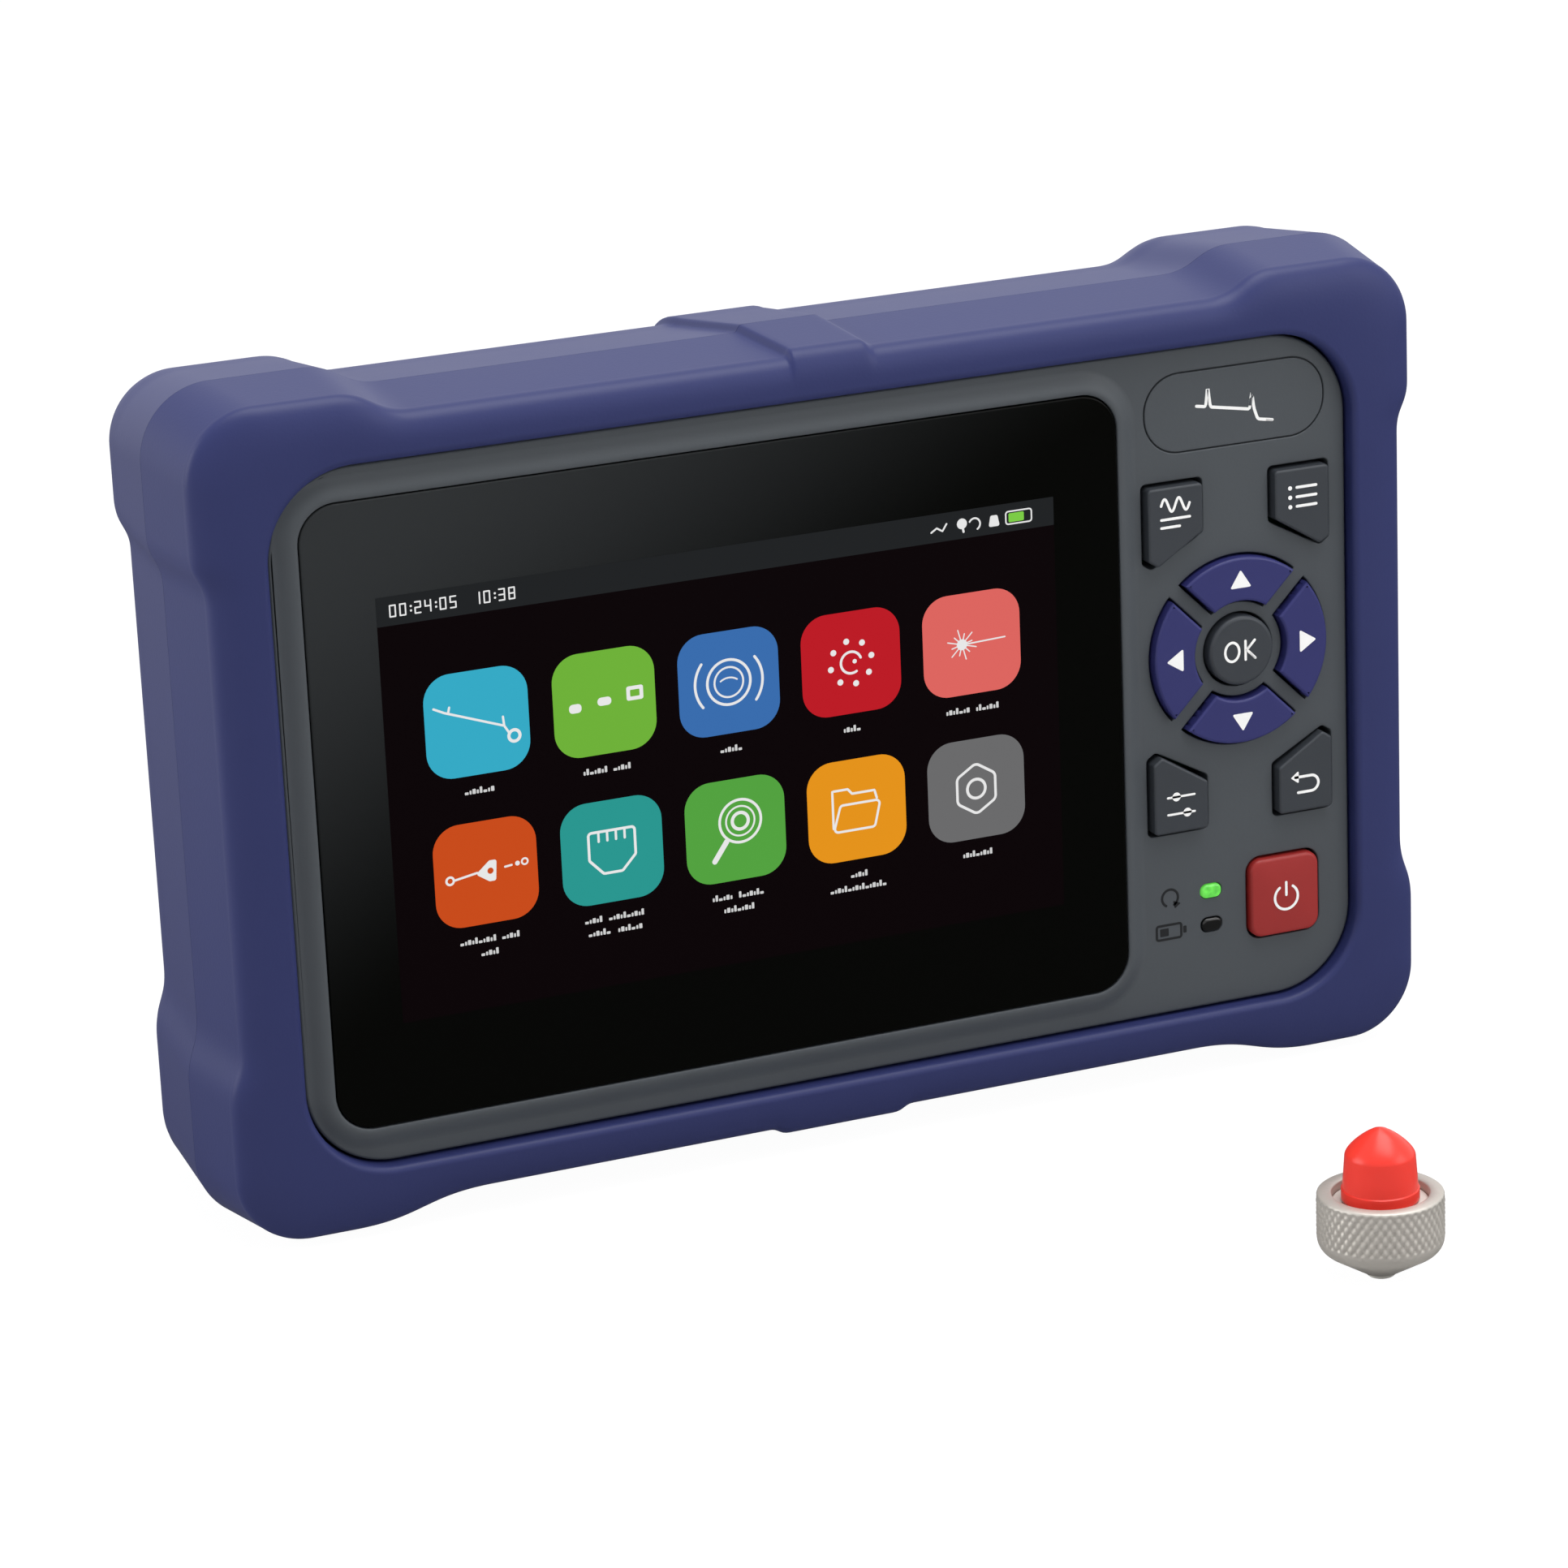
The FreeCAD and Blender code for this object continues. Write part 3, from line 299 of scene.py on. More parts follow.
gain = node(moulded, "ShaderNodeMath", [(1, 1.0)], operation="ADD")
shade = node(moulded, "ShaderNodeVectorMath", operation="SCALE")
rough = node(moulded, "ShaderNodeMath", operation="MULTIPLY")
link = moulded.links.new
link(where.outputs["Object"], grain.inputs["Vector"])
link(enter.outputs["Grain Scale"], grain.inputs["Scale"])
link(grain.outputs["Fac"], bump.inputs["Height"])
link(enter.outputs["Grain Depth"], bump.inputs["Strength"])
link(bump.outputs["Normal"], leave.inputs["Normal"])
link(where.outputs["Object"], cloud.inputs["Vector"])
link(cloud.outputs["Fac"], spread.inputs["Value"])
link(spread.outputs["Result"], drift.inputs[0])
link(enter.outputs["Wander"], drift.inputs[1])
link(drift.outputs[0], gain.inputs[0])
link(enter.outputs["Colour"], shade.inputs[0])
link(gain.outputs[0], shade.inputs["Scale"])
link(shade.outputs[0], leave.inputs["Colour"])
link(enter.outputs["Roughness"], rough.inputs[0])
link(gain.outputs[0], rough.inputs[1])
link(rough.outputs[0], leave.inputs["Roughness"])


def moulding(name, colour, roughness, specular=0.35, grain=0.1, scale=2600.0, wander=0.08, metal=0.0):
    """Plastic, rubber or cast finish with its own grain."""
    finish, tree, shader = blank_finish(name)
    surface = node(tree, "ShaderNodeGroup", (("Colour", (*colour, 1)), ("Roughness", roughness), ("Grain Depth", grain),
                                             ("Grain Scale", scale), ("Wander", wander)), node_tree=moulded)
    for label, socket in (("Colour", "Base Color"), ("Roughness", "Roughness"), ("Normal", "Normal")):
        tree.links.new(surface.outputs[label], shader.inputs[socket])
    shader.inputs["Specular IOR Level"].default_value = specular
    shader.inputs["Metallic"].default_value = metal
    return finish


blue = moulding("blue_moulding", (0.026, 0.033, 0.124), 0.46, specular=0.25, grain=0.14)
rim_crown = 2.5    # 2 is a round border, more is a flatter one with tighter edges
out_depth = np.concatenate([[3.0], np.linspace(3.4, 14.6, 9), [14.85, 14.97]])
lean = (crease - out_depth) / (crease - 3.0)
ox, oz = case_outline(out_depth, 1.7 * lean, 0.9 * lean, 55.8 - 0.9 * lean, 0 * lean)
hole = (75.7, 46.45, 11.85)
fx, fz = ox[0], oz[0]
rings = []
for out, depth in ([(0, 3.7), (0, 2.0), (0, 1.2)] + [(0.9 * (1 - math.cos(a)), 0.9 * (1 - math.sin(a)))
                   for a in np.linspace(0, math.pi / 2, 7)] + [(1.05, 0.0)]):
    x, z = nearest_frame(fx, fz, hole[0] + out, hole[1] + out, hole[2] + out)
    rings.append(on_front(x, z, depth))
# the border is crowned: across it, out^n + (1 - depth / 3)^n = 1, with n = rim_crown
for a in np.linspace(0, math.pi / 2, 25)[1:-1]:
    out, depth = math.sin(a) ** (2 / rim_crown), 3 * (1 - math.cos(a) ** (2 / rim_crown))
    rings.append(on_front(x + (fx - x) * out, z + (fz - z) * out, depth))
for row in range(len(out_depth)):
    rings.append(on_front(ox[row], oz[row], out_depth[row]))
for depth in (14.97, 3.7):
    x, z = nearest_frame(fx, fz, 80.0, 49.2, 9.0)
    rings.append(on_front(x, z, depth))
front_shell = piece("front_moulding", [skin(np.array(rings))], "case", [blue])
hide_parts("front_shell")

# ---- rear shell ----
# The deeper half of the case in the same blue. It narrows to a rounded back and is cut for the folding
# stand, the battery, the screws, the port bay and the socket flap.
turn = np.linspace(0, math.pi / 2, 11)
back_depth = np.concatenate([[15.03, 15.15], np.linspace(15.5, 31, 8), 31 + 8 * np.sin(turn[1:]), [39.0]])
lean = np.clip((back_depth - crease) / 16, 0, 1)
edge = np.concatenate([np.zeros(10), 4.5 * (1 - np.cos(turn[1:])), [4.8]])
ox, oz = case_outline(back_depth, 1.1 * lean + edge, 2.0 * lean + edge, 55.8 - edge, edge)
cx, cz = nearest_frame(ox[0], oz[0], 80.0, 49.2, 9.0)
rings = [on_front(0 * cx, 0 * cz, 32.3), on_front(cx, cz, 32.3), on_front(cx, cz, 15.03)]
for row in range(len(back_depth)):
    rings.append(on_front(ox[row], oz[row], back_depth[row]))
rings.append(on_front(0 * cx, 0 * cz, 39.0))
rear_shell = piece("rear_moulding", [skin(np.array(rings), closed=False)], "case", [blue])
merge = bmesh.new()
merge.from_mesh(rear_shell.data)
bmesh.ops.remove_doubles(merge, verts=merge.verts, dist=1e-7)
bmesh.ops.recalc_face_normals(merge, faces=merge.faces)
merge.to_mesh(rear_shell.data)
merge.free()


def loop(points, radii, step=7):
    """Closed outline through corner points (counter-clockwise), each corner a circular arc of its radius."""
    p = np.asarray(points, float)
    r = np.broadcast_to(np.asarray(radii, float), len(p))[:, None]
    a = np.roll(p, 1, 0) - p
    b = np.roll(p, -1, 0) - p
    a /= np.linalg.norm(a, axis=1, keepdims=True)
    b /= np.linalg.norm(b, axis=1, keepdims=True)
    half = np.arccos(np.clip((a * b).sum(1, keepdims=True), -1, 1)) / 2
    mid = a + b
    mid /= np.linalg.norm(mid, axis=1, keepdims=True)
    centre = p + mid * r / np.sin(half)
    start = p + a * r / np.tan(half) - centre
    end = p + b * r / np.tan(half) - centre
    sweep = np.arctan2(start[:, 0] * end[:, 1] - start[:, 1] * end[:, 0], (start * end).sum(1))[:, None]
    t = np.linspace(0, 1, step)[None, :] * sweep
    x = centre[:, :1] + start[:, :1] * np.cos(t) - start[:, 1:] * np.sin(t)
    z = centre[:, 1:] + start[:, :1] * np.sin(t) + start[:, 1:] * np.cos(t)
    return np.stack([x, z], -1).reshape(-1, 2)


def frame_loop(cx, cz, w, h, r, step=9):
    x, z = w / 2, h / 2
    return loop([(cx - x, cz - z), (cx + x, cz - z), (cx + x, cz + z), (cx - x, cz + z)], r, step)


def disc(cx, cz, r, n=48):
    a = np.arange(n) * 2 * math.pi / n
    return np.stack([cx + r * np.cos(a), cz + r * np.sin(a)], -1)


def shrink(path, d):
    """Moves an outline inwards by d along its normals, taken from each point's neighbours."""
    ahead = np.roll(path, -1, 0) - path
    behind = path - np.roll(path, 1, 0)
    ahead /= np.maximum(np.linalg.norm(ahead, axis=1, keepdims=True), 1e-12)
    behind /= np.maximum(np.linalg.norm(behind, axis=1, keepdims=True), 1e-12)
    t = ahead + behind
    t /= np.linalg.norm(t, axis=1, keepdims=True)
    return path + d * np.stack([-t[:, 1], t[:, 0]], -1)


def inside(points, path):
    """Even-odd test of points against an outline."""
    x, y = points[:, :1], points[:, 1:]
    a, b = path[None], np.roll(path, -1, 0)[None]
    cross = ((a[..., 1] > y) != (b[..., 1] > y)) & (
        x < (b[..., 0] - a[..., 0]) * (y - a[..., 1]) / np.where(b[..., 1] == a[..., 1], 1e-12, b[..., 1] - a[..., 1])
        + a[..., 0])
    return cross.sum(1) % 2 == 1


def fill(outer, holes):
    """Triangles of the flat area inside outer and outside holes, with indices into all their points in turn."""
    paths = [outer] + list(holes)
    points = np.concatenate(paths)
    links, start = [], 0
    for path in paths:
        i = np.arange(len(path))
        links += np.stack([start + i, start + (i + 1) % len(path)], -1).tolist()
        start += len(path)
    verts, _, faces, origin, _, _ = delaunay_2d_cdt([tuple(p) for p in points.tolist()], links, [], 0, 1e-7)
    back = np.array([o[0] if o else -1 for o in origin])
    tris = back[np.array([f for f in faces if len(f) == 3])]
    tris = tris[(tris >= 0).all(1)]
    middle = points[tris].mean(1)
    keep = inside(middle, outer)
    for path in holes:
        keep &= ~inside(middle, path)
    return tris[keep]


def plate(outer, face, back, edge=0.0, holes=(), hole_edge=0.0, put=on_front, steps=4):
    """Flat plate with rounded front edges: the face is filled inside outlines moved in by the rounding,
    quarter rounds join it to the walls, and the back is filled between the outlines themselves."""
    paths = [outer] + list(holes)
    rounds = [edge] + [-hole_edge] * len(holes)
    flat = [shrink(p, d) if d else p for p, d in zip(paths, rounds)]
    verts, faces = [], []
    start = 0
    size = sum(len(p) for p in paths)
    for path in flat:
        verts.append(put(path[:, 0], path[:, 1], face))
    tris = fill(flat[0], flat[1:])
    faces += tris.tolist()
    last = [np.arange(len(p)) + off for p, off in zip(paths, np.cumsum([0] + [len(p) for p in paths[:-1]]))]
    start = size
    levels = ([(math.sin(a), 1 - math.cos(a)) for a in np.linspace(0, math.pi / 2, steps + 1)[1:]]
              if edge or hole_edge else []) + [None]
    for level in levels:
        for n, (path, d) in enumerate(zip(paths, rounds)):
            size_d = abs(d)
            if level is None:
                ring, depth = path, back
            else:
                ring = shrink(path, d * (1 - level[0])) if d else path
                depth = face + size_d * level[1]
            verts.append(put(ring[:, 0], ring[:, 1], depth))
            now = np.arange(len(path)) + start
            start += len(path)
            a, b = last[n], now
            faces += np.stack([a, np.roll(a, -1), np.roll(b, -1), b], -1).tolist()
            last[n] = now
    under = fill(outer, holes)
    faces += (under + last[0][0]).tolist()
    return np.concatenate(verts), faces


def cutter(shape):
    """Unseen solid that shapes another."""
    mesh = bpy.data.meshes.new("cutter")
    mesh.from_pydata(shape[0].tolist(), [], shape[1])
    solid = bmesh.new()
    solid.from_mesh(mesh)
    bmesh.ops.recalc_face_normals(solid, faces=solid.faces)
    solid.to_mesh(mesh)
    solid.free()
    made = bpy.data.objects.new("cutter", mesh)
    bpy.context.collection.objects.link(made)
    return made


def carve(target, shapes):
    """Adds or takes away solids, and keeps the result as the target's own mesh."""
    tools = []
    for action, shape in shapes:
        step = target.modifiers.new("carve", "BOOLEAN")
        step.operation = action
        step.solver = "EXACT"
        step.object = cutter(shape)
        tools.append(step.object)
    bpy.context.view_layer.update()
    shown = target.evaluated_get(bpy.context.evaluated_depsgraph_get())
    result = bpy.data.meshes.new_from_object(shown)
    target.modifiers.clear()
    target.data = result
    for tool in tools:
        bpy.data.meshes.remove(tool.data)


def on_side(u, v, d):
    """As on_front for plates in the right side: u back from the front rim, v up, d in from the side (in x)."""
    return np.stack(np.broadcast_arrays(np.asarray(d, float), np.asarray(u, float) - half_thick,
                                        np.asarray(v, float) + mid_z), -1) / 1000


def block(x0, x1, d0, d1, z0, z1):
    return plate(np.array([(x0, z0), (x1, z0), (x1, z1), (x0, z1)], float), d0, d1)


u_shape = [(-42.4, -32.4), (42.4, -32.4), (42.4, 30.4), (33.6, 30.4), (33.6, -22.6), (-33.6, -22.6), (-33.6, 30.4),
           (-42.4, 30.4)]
screw_places = [(sx * 72.0, sz * 41.8) for sx in (-1, 1) for sz in (-1, 1)]
side_x = 84.66
shapes = [("UNION", block(73.5, 80.4, 15.6, 36.1, -7.0, 32.5)),
          ("UNION", block(-25.7, 25.7, 23.4, 33.0, -16.7, 21.7)),
          ("DIFFERENCE", plate(loop(u_shape, [4.4, 4.4, 0.4, 0.4, 2.6, 2.6, 0.4, 0.4]), 34.6, 42)),
          ("DIFFERENCE", plate(disc(0, -32.4, 6.0), 34.6, 42)),
          ("DIFFERENCE", plate(frame_loop(0, 2.5, 54.7, 41.7, 4.35), 36.4, 42)),
          ("DIFFERENCE", block(-24.5, 24.5, 24.6, 42, -15.5, 20.5)),
          ("DIFFERENCE", plate(frame_loop(25.6, 12.75, 17.0, 35.5, 3.0), 75.5, 95, put=on_side)),
          ("DIFFERENCE", plate(frame_loop(22.5, -17.25, 11.7, 18.2, 0.75), side_x - 1.85, 95, put=on_side)),
          ("DIFFERENCE", plate(frame_loop(22.0, -13.6, 3.3, 9.0, 1.2), 70, 95, put=on_side)),
          ("DIFFERENCE", plate(disc(22.0, -21.6, 2.8), 70, 95, put=on_side))]
shapes += [("DIFFERENCE", plate(disc(x, z, 3.1), 34.0, 42)) for x, z in screw_places]
carve(rear_shell, shapes)
rear_shell.data.polygons.foreach_set("use_smooth", np.ones(len(rear_shell.data.polygons), bool))
rear_shell.data.set_sharp_from_angle(angle=math.radians(32))
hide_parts("rear_shell")

# ---- front panel ----
# Satin grey plate behind the lip. A raised surround slopes up to the glass; the keypad side is flat and
# pierced for the keys and lamps.
panel_grey = moulding("panel_grey", (0.071, 0.080, 0.090), 0.5, specular=0.3, grain=0.1)
gap = 0.35
glass_x, glass_z, glass_w, glass_h = -15.2, 0.4, 112.5, 82.6
pad_x, pad_z = 58.85, 3.8
power_x, power_z, power_w, power_h = 65.05, -31.9, 10.4, 11.1
led_x, led_z = 54.15, (-29.7, -34.5)
oval_x, oval_z, oval_w, oval_h = 58.95, 37.4, 26.8, 10.9


def sector(inner, outer, off, turn_by, step=0.35):
    """Quarter of the arrow ring, counter-clockwise: out along one straight side, round the outer arc, back."""
    def ends(r):
        t = math.sqrt(r * r - off * off)
        return (t + off) / math.sqrt(2), (t - off) / math.sqrt(2)
    (ax, az), (bx, bz) = ends(inner), ends(outer)
    side = max(4, int((outer - inner) / step))
    s = np.linspace(0, 1, side, endpoint=False)
    first = np.stack([ax + (bx - ax) * s, -az - (bz - az) * s], -1)
    a1 = math.atan2(bz, bx)
    arc = np.linspace(-a1, a1, max(8, int(2 * a1 * outer / step)), endpoint=False)
    second = np.stack([outer * np.cos(arc), outer * np.sin(arc)], -1)
    third = np.stack([bx + (ax - bx) * s, bz + (az - bz) * s], -1)
    a0 = math.atan2(az, ax)
    arc = np.linspace(a0, -a0, max(6, int(2 * a0 * inner / step)), endpoint=False)
    fourth = np.stack([inner * np.cos(arc), inner * np.sin(arc)], -1)
    p = np.concatenate([first, second, third, fourth])
    c, s_ = math.cos(turn_by), math.sin(turn_by)
    return np.stack([pad_x + p[:, 0] * c - p[:, 1] * s_, pad_z + p[:, 0] * s_ + p[:, 1] * c], -1)


def corner_key(sx, sz, grow, r):
    """Five-sided key outline with the side next to the pad cut at a slant."""
    x0, x1 = 5.4 - grow, 13.45 + grow
    top, low, mid = 24.0 + grow, 13.2 - grow, 17.4 - grow
    points = np.array([(x0, mid), (x1 - 1.35, low), (x1, low + 0.9), (x1, top), (x0, top)])
    points = points * (sx, sz) + (pad_x, pad_z)
    if sx * sz < 0:
        points = points[::-1]
    return loop(points, r, 6)


arrows = (("right", 0.0), ("up", math.pi / 2), ("left", math.pi), ("down", -math.pi / 2))
corners = (("upper_left", -1, 1), ("upper_right", 1, 1), ("lower_left", -1, -1), ("lower_right", 1, -1))
base = frame_loop(glass_x, glass_z, glass_w + 6.6, glass_h + 6.6, 5.0 + 3.3, 14)
holes = [base]
holes += [sector(6.9 - gap, 12.9 + gap, 1.0, a) for _, a in arrows]
holes += [corner_key(sx, sz, 0.5, 0.7) for _, sx, sz in corners]
holes += [disc(pad_x, pad_z, 4.8 + gap, 64), frame_loop(power_x, power_z, power_w + 0.7, power_h + 0.7, 2.15),
          frame_loop(led_x, led_z[0], 3.2, 2.1, 0.95), frame_loop(led_x, led_z[1], 3.2, 2.1, 0.95),
          frame_loop(oval_x, oval_z, oval_w, oval_h, 5.2, 16)]
outer = frame_loop(0, 0, 150.7, 92.2, 11.5, 24)


def surround(out, step=14):
    """Outline round the glass, moved out by the given distance."""
    return frame_loop(glass_x, glass_z, glass_w + 2 * out, glass_h + 2 * out, 5.0 + out, step)


def panel_plate():
    """The flat of the panel, with the surround's foot as one of its holes and rims round the others."""
    face, back, edge_r, hole_r = 2.0, 5.5, 0.4, 0.18
    flat = [shrink(outer, edge_r), base] + [shrink(p, -hole_r) for p in holes[1:]]
    verts = [on_front(p[:, 0], p[:, 1], face) for p in flat]
    counts = [len(p) for p in flat]
    offsets = np.cumsum([0] + counts)
    faces = fill(flat[0], flat[1:]).tolist()
    start = offsets[-1]
    last = [np.arange(c) + o for c, o in zip(counts, offsets)]

    def add(n, ring, depth):
        nonlocal start
        verts.append(on_front(ring[:, 0], ring[:, 1], depth))
        now = np.arange(len(ring)) + start
        start += len(ring)
        a = last[n]
        faces.extend(np.stack([a, np.roll(a, -1), np.roll(now, -1), now], -1).tolist())
        last[n] = now

    for a in np.linspace(0, math.pi / 2, 6)[1:]:
        add(0, shrink(outer, edge_r * (1 - math.sin(a))), face + edge_r * (1 - math.cos(a)))
        for n, path in enumerate(holes[1:], 2):
            add(n, shrink(path, -hole_r * (1 - math.sin(a))), face + hole_r * (1 - math.cos(a)))
    add(0, outer, 3.7)
    for n, path in enumerate(holes[1:], 2):
        add(n, path, 2.5 if n == len(holes) else back)
    # the surround rises to the glass as a smooth step, then turns down into its pocket
    for s in np.linspace(0, 1, 13)[1:]:
        add(1, surround(3.3 - 2.7 * s), face - 1.0 * (3 * s ** 2 - 2 * s ** 3))
    for a in np.linspace(0, math.pi / 2, 5)[1:]:
        add(1, surround(0.45 - 0.3 * math.sin(a)), 1.0 + 0.3 * (1 - math.cos(a)))
    add(1, surround(0.15), back)
    # the floor of the oval pocket, then the back, which that pocket doesn't reach
    faces.extend((fill(holes[-1], []) + last[-1][0]).tolist())
    add(0, outer, back)
    faces.extend(np.concatenate(last[:-1])[fill(outer, [surround(0.15)] + holes[1:-1])].tolist())
    return np.concatenate(verts), faces


def even(target, weight=80):
    """Shades flats evenly by weighting each corner's normal by the size of its faces."""
    step = target.modifiers.new("even_shading", "WEIGHTED_NORMAL")
    step.keep_sharp = True
    step.weight = weight
    return target


panel = even(piece("panel", [panel_plate()], "case", [panel_grey]))
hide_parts("front_panel")

# ---- label plate ----
# Thin oval inlay let into the panel over the keypad. It carries only a trace line with one echo peak.
inlay = plate(frame_loop(oval_x, oval_z, oval_w - 0.36, oval_h - 0.36, 5.02, 16), 2.0, 2.5, 0.12)
label = piece("label_inlay", [inlay], "case", [panel_grey])
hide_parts("label_plate")
white_print = moulding("white_print", (0.95, 0.95, 0.94), 0.55, grain=0.05, wander=0.03)


def stroke(points, width, closed=False):
    """Outline of a line of the given width through points; a closed line gives its outer edge and its hole."""
    p = np.asarray(points, float)
    if closed:
        area = (p[:, 0] * np.roll(p[:, 1], -1) - np.roll(p[:, 0], -1) * p[:, 1]).sum()
        p = p if area > 0 else p[::-1]
        return shrink(p, -width / 2), [shrink(p, width / 2)]
    t = np.gradient(p, axis=0)
    t /= np.linalg.norm(t, axis=1, keepdims=True)
    n = np.stack([t[:, 1], -t[:, 0]], -1) * width / 2

    def cap(at, ahead):
        a0 = math.atan2(ahead[1], ahead[0])
        a = a0 + np.linspace(-math.pi / 2, math.pi / 2, 7)[1:-1]
        return np.stack([at[0] + width / 2 * np.cos(a), at[1] + width / 2 * np.sin(a)], -1)
    return np.concatenate([p + n, cap(p[-1], t[-1]), (p - n)[::-1], cap(p[0], -t[0])]), []


def bar(cx, cz, w, h, r, step=9):
    return frame_loop(cx, cz, w, h, r, step), []


def printed(shapes, face, thick=0.03, put=on_front):
    """Thin ink: each (outline, holes) pair as a closed plate that stands proud of the face."""
    return [plate(o, face - thick, face + 0.02, holes=h, put=put) for o, h in shapes]


# the trace: a falling line with two bell-shaped peaks and a drop after the second
x = np.linspace(-5.6, 5.6, 90)
trace = (1.25 - 0.18 * (x + 5.6) + 2.6 * np.exp(-((x + 3.9) / 0.22) ** 2)
         + 2.2 * np.exp(-((x - 2.6) / 0.22) ** 2) - 1.3 / (1 + np.exp(-(x - 3.2) * 9)))
mark = piece("trace_mark", printed([stroke(np.stack([oval_x + x, oval_z - 0.7 + trace], -1), 0.42)], 2.0), "case",
             [white_print])

# ---- touch glass and the layers behind it ----
# Black-backed cover glass with a painted reflection: its colour is a shade lighter towards its upper left corner,
# standing in for a soft light mirrored there. It is bonded into the surround on a foam frame over the display module.
glass_black, tree, shader = blank_finish("black_glass")
wire = tree.links.new
where = node(tree, "ShaderNodeTexCoord")
part = node(tree, "ShaderNodeSeparateXYZ")
steep = node(tree, "ShaderNodeMath", [(1, 1.6)], operation="MULTIPLY")
slide = node(tree, "ShaderNodeMath", operation="SUBTRACT")
tone = node(tree, "ShaderNodeMapRange", (("From Min", 0.11), ("From Max", 0.225)), interpolation_type="SMOOTHSTEP")
# painted reflection: the base colour goes from near black to grey towards the upper left corner, in place of a soft
# light mirrored in the glass
painted_reflection = node(tree, "ShaderNodeMixRGB", (("Color1", (0.0022, 0.0023, 0.0019, 1)), ("Color2", (0.034, 0.037, 0.039, 1))))
wire(where.outputs["Object"], part.inputs[0])
wire(part.outputs["Z"], steep.inputs[0])
wire(steep.outputs[0], slide.inputs[0])
wire(part.outputs["X"], slide.inputs[1])
wire(slide.outputs[0], tone.inputs["Value"])
wire(tone.outputs["Result"], painted_reflection.inputs["Fac"])
wire(painted_reflection.outputs["Color"], shader.inputs["Base Color"])
smudge = node(tree, "ShaderNodeTexNoise", [("Scale", 40)])
film = node(tree, "ShaderNodeMapRange", (("To Min", 0.05), ("To Max", 0.12)))
wire(where.outputs["Object"], smudge.inputs["Vector"])
wire(smudge.outputs["Fac"], film.inputs["Value"])
wire(film.outputs["Result"], shader.inputs["Roughness"])
shader.inputs["IOR"].default_value = 1.12
shader.inputs["Specular IOR Level"].default_value = 0.5
glass = even(piece("cover_glass", [plate(surround(0.0, 16), 1.0, 2.1, 0.25)], "case", [glass_black]), weight=50)
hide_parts("touch_glass")


def refinish(node, finish):
    """Gives a carried-over solid its own finish."""
    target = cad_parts[node]
    target.data.materials.clear()
    target.data.materials.append(finish)


refinish("glass_gasket", moulding("foam_black", (0.02, 0.02, 0.02), 0.9, grain=0.4, scale=1200))
refinish("lcd_module", moulding("display_back", (0.35, 0.36, 0.37), 0.4, metal=0.7, grain=0.05))

# ---- screen picture ----
# What the lit display shows: a status strip, ten round-cornered tiles in two rows with plain pictograms,
# and rows of plain blocks where captions stand.
view_x0, view_x1 = glass_x - 46.85, glass_x + 46.85


def lit(name, colour):
    """Light that comes through the cover glass: a picture colour that is a shade weaker here and there."""
    finish, tree, shader = blank_finish(name)
    surface = node(tree, "ShaderNodeGroup", (("Colour", (*colour, 1)), ("Wander", 0.05), ("Grain Depth", 0.0)),
                   node_tree=moulded)
    tree.links.new(surface.outputs["Colour"], shader.inputs["Emission Color"])
    tree.links.new(surface.outputs["Roughness"], shader.inputs["Roughness"])
    shader.inputs["Emission Strength"].default_value = 1.0
    shader.inputs["Base Color"].default_value = (0.001, 0.001, 0.001, 1)
    shader.inputs["IOR"].default_value = 1.1
    return finish


def tone_of(shapes, index):
    return [index] * sum(len(faces) for _, faces in shapes)


tile_x = glass_x + np.array([-34.45, -17.15, 0.05, 17.25, 34.5])
tile_z = (10.8, -9.2)
tile_colours = ((0.035, 0.40, 0.56), (0.155, 0.44, 0.040), (0.040, 0.150, 0.42), (0.50, 0.010, 0.018),
                (0.72, 0.130, 0.115), (0.58, 0.070, 0.010), (0.022, 0.305, 0.275), (0.085, 0.36, 0.050),
                (0.78, 0.290, 0.010), (0.145, 0.145, 0.148))
backdrop = printed([bar(glass_x, 0.7, 93.7, 56.4, 0.2, 3)], 1.0, 0.012)
strip = printed([bar(glass_x, 27.0, 93.7, 3.8, 0.1, 3)], 1.0, 0.02)
tiles, tones = [], []
for n, (z, x) in enumerate([(z, x) for z in tile_z for x in tile_x]):
    shape = printed([bar(x, z, 14.0, 13.8, 3.6, 12)], 1.0, 0.02)
    tiles += shape
    tones += tone_of(shape, n + 2)
screen = piece("screen_picture", backdrop + strip + tiles, "case",
               [lit("lit_backdrop", (0.0022, 0.0003, 0.0009)), lit("lit_strip", (0.0140, 0.0155, 0.0170))] +
               [lit("lit_tile_%d" % n, c) for n, c in enumerate(tile_colours)],
               choose=tone_of(backdrop, 0) + tone_of(strip, 1) + tones)


def arc(cx, cz, r, a0, a1, n=40):
    a = np.radians(np.linspace(a0, a1, n))
    return np.stack([cx + r * np.cos(a), cz + r * np.sin(a)], -1)


def ring(cx, cz, r, width, n=48, squash=1.0):
    a = np.arange(n) * 2 * math.pi / n
    return stroke(np.stack([cx + r * np.cos(a), cz + r * squash * np.sin(a)], -1), width, True)


def dot(cx, cz, r, n=20):
    return disc(cx, cz, r, n), []


def bent(points, n=12):
    """Polyline with extra points, so that its ends and turns stay even."""
    p = np.asarray(points, float)
    t = np.linspace(0, len(p) - 1, n * (len(p) - 1) + 1)
    return np.stack([np.interp(t, np.arange(len(p)), p[:, k]) for k in (0, 1)], -1)


def line(points, width, n=12):
    return stroke(bent(points, n), width)


def moved(shapes, x, z):
    return [(o + (x, z), [h + (x, z) for h in holes]) for o, holes in shapes]


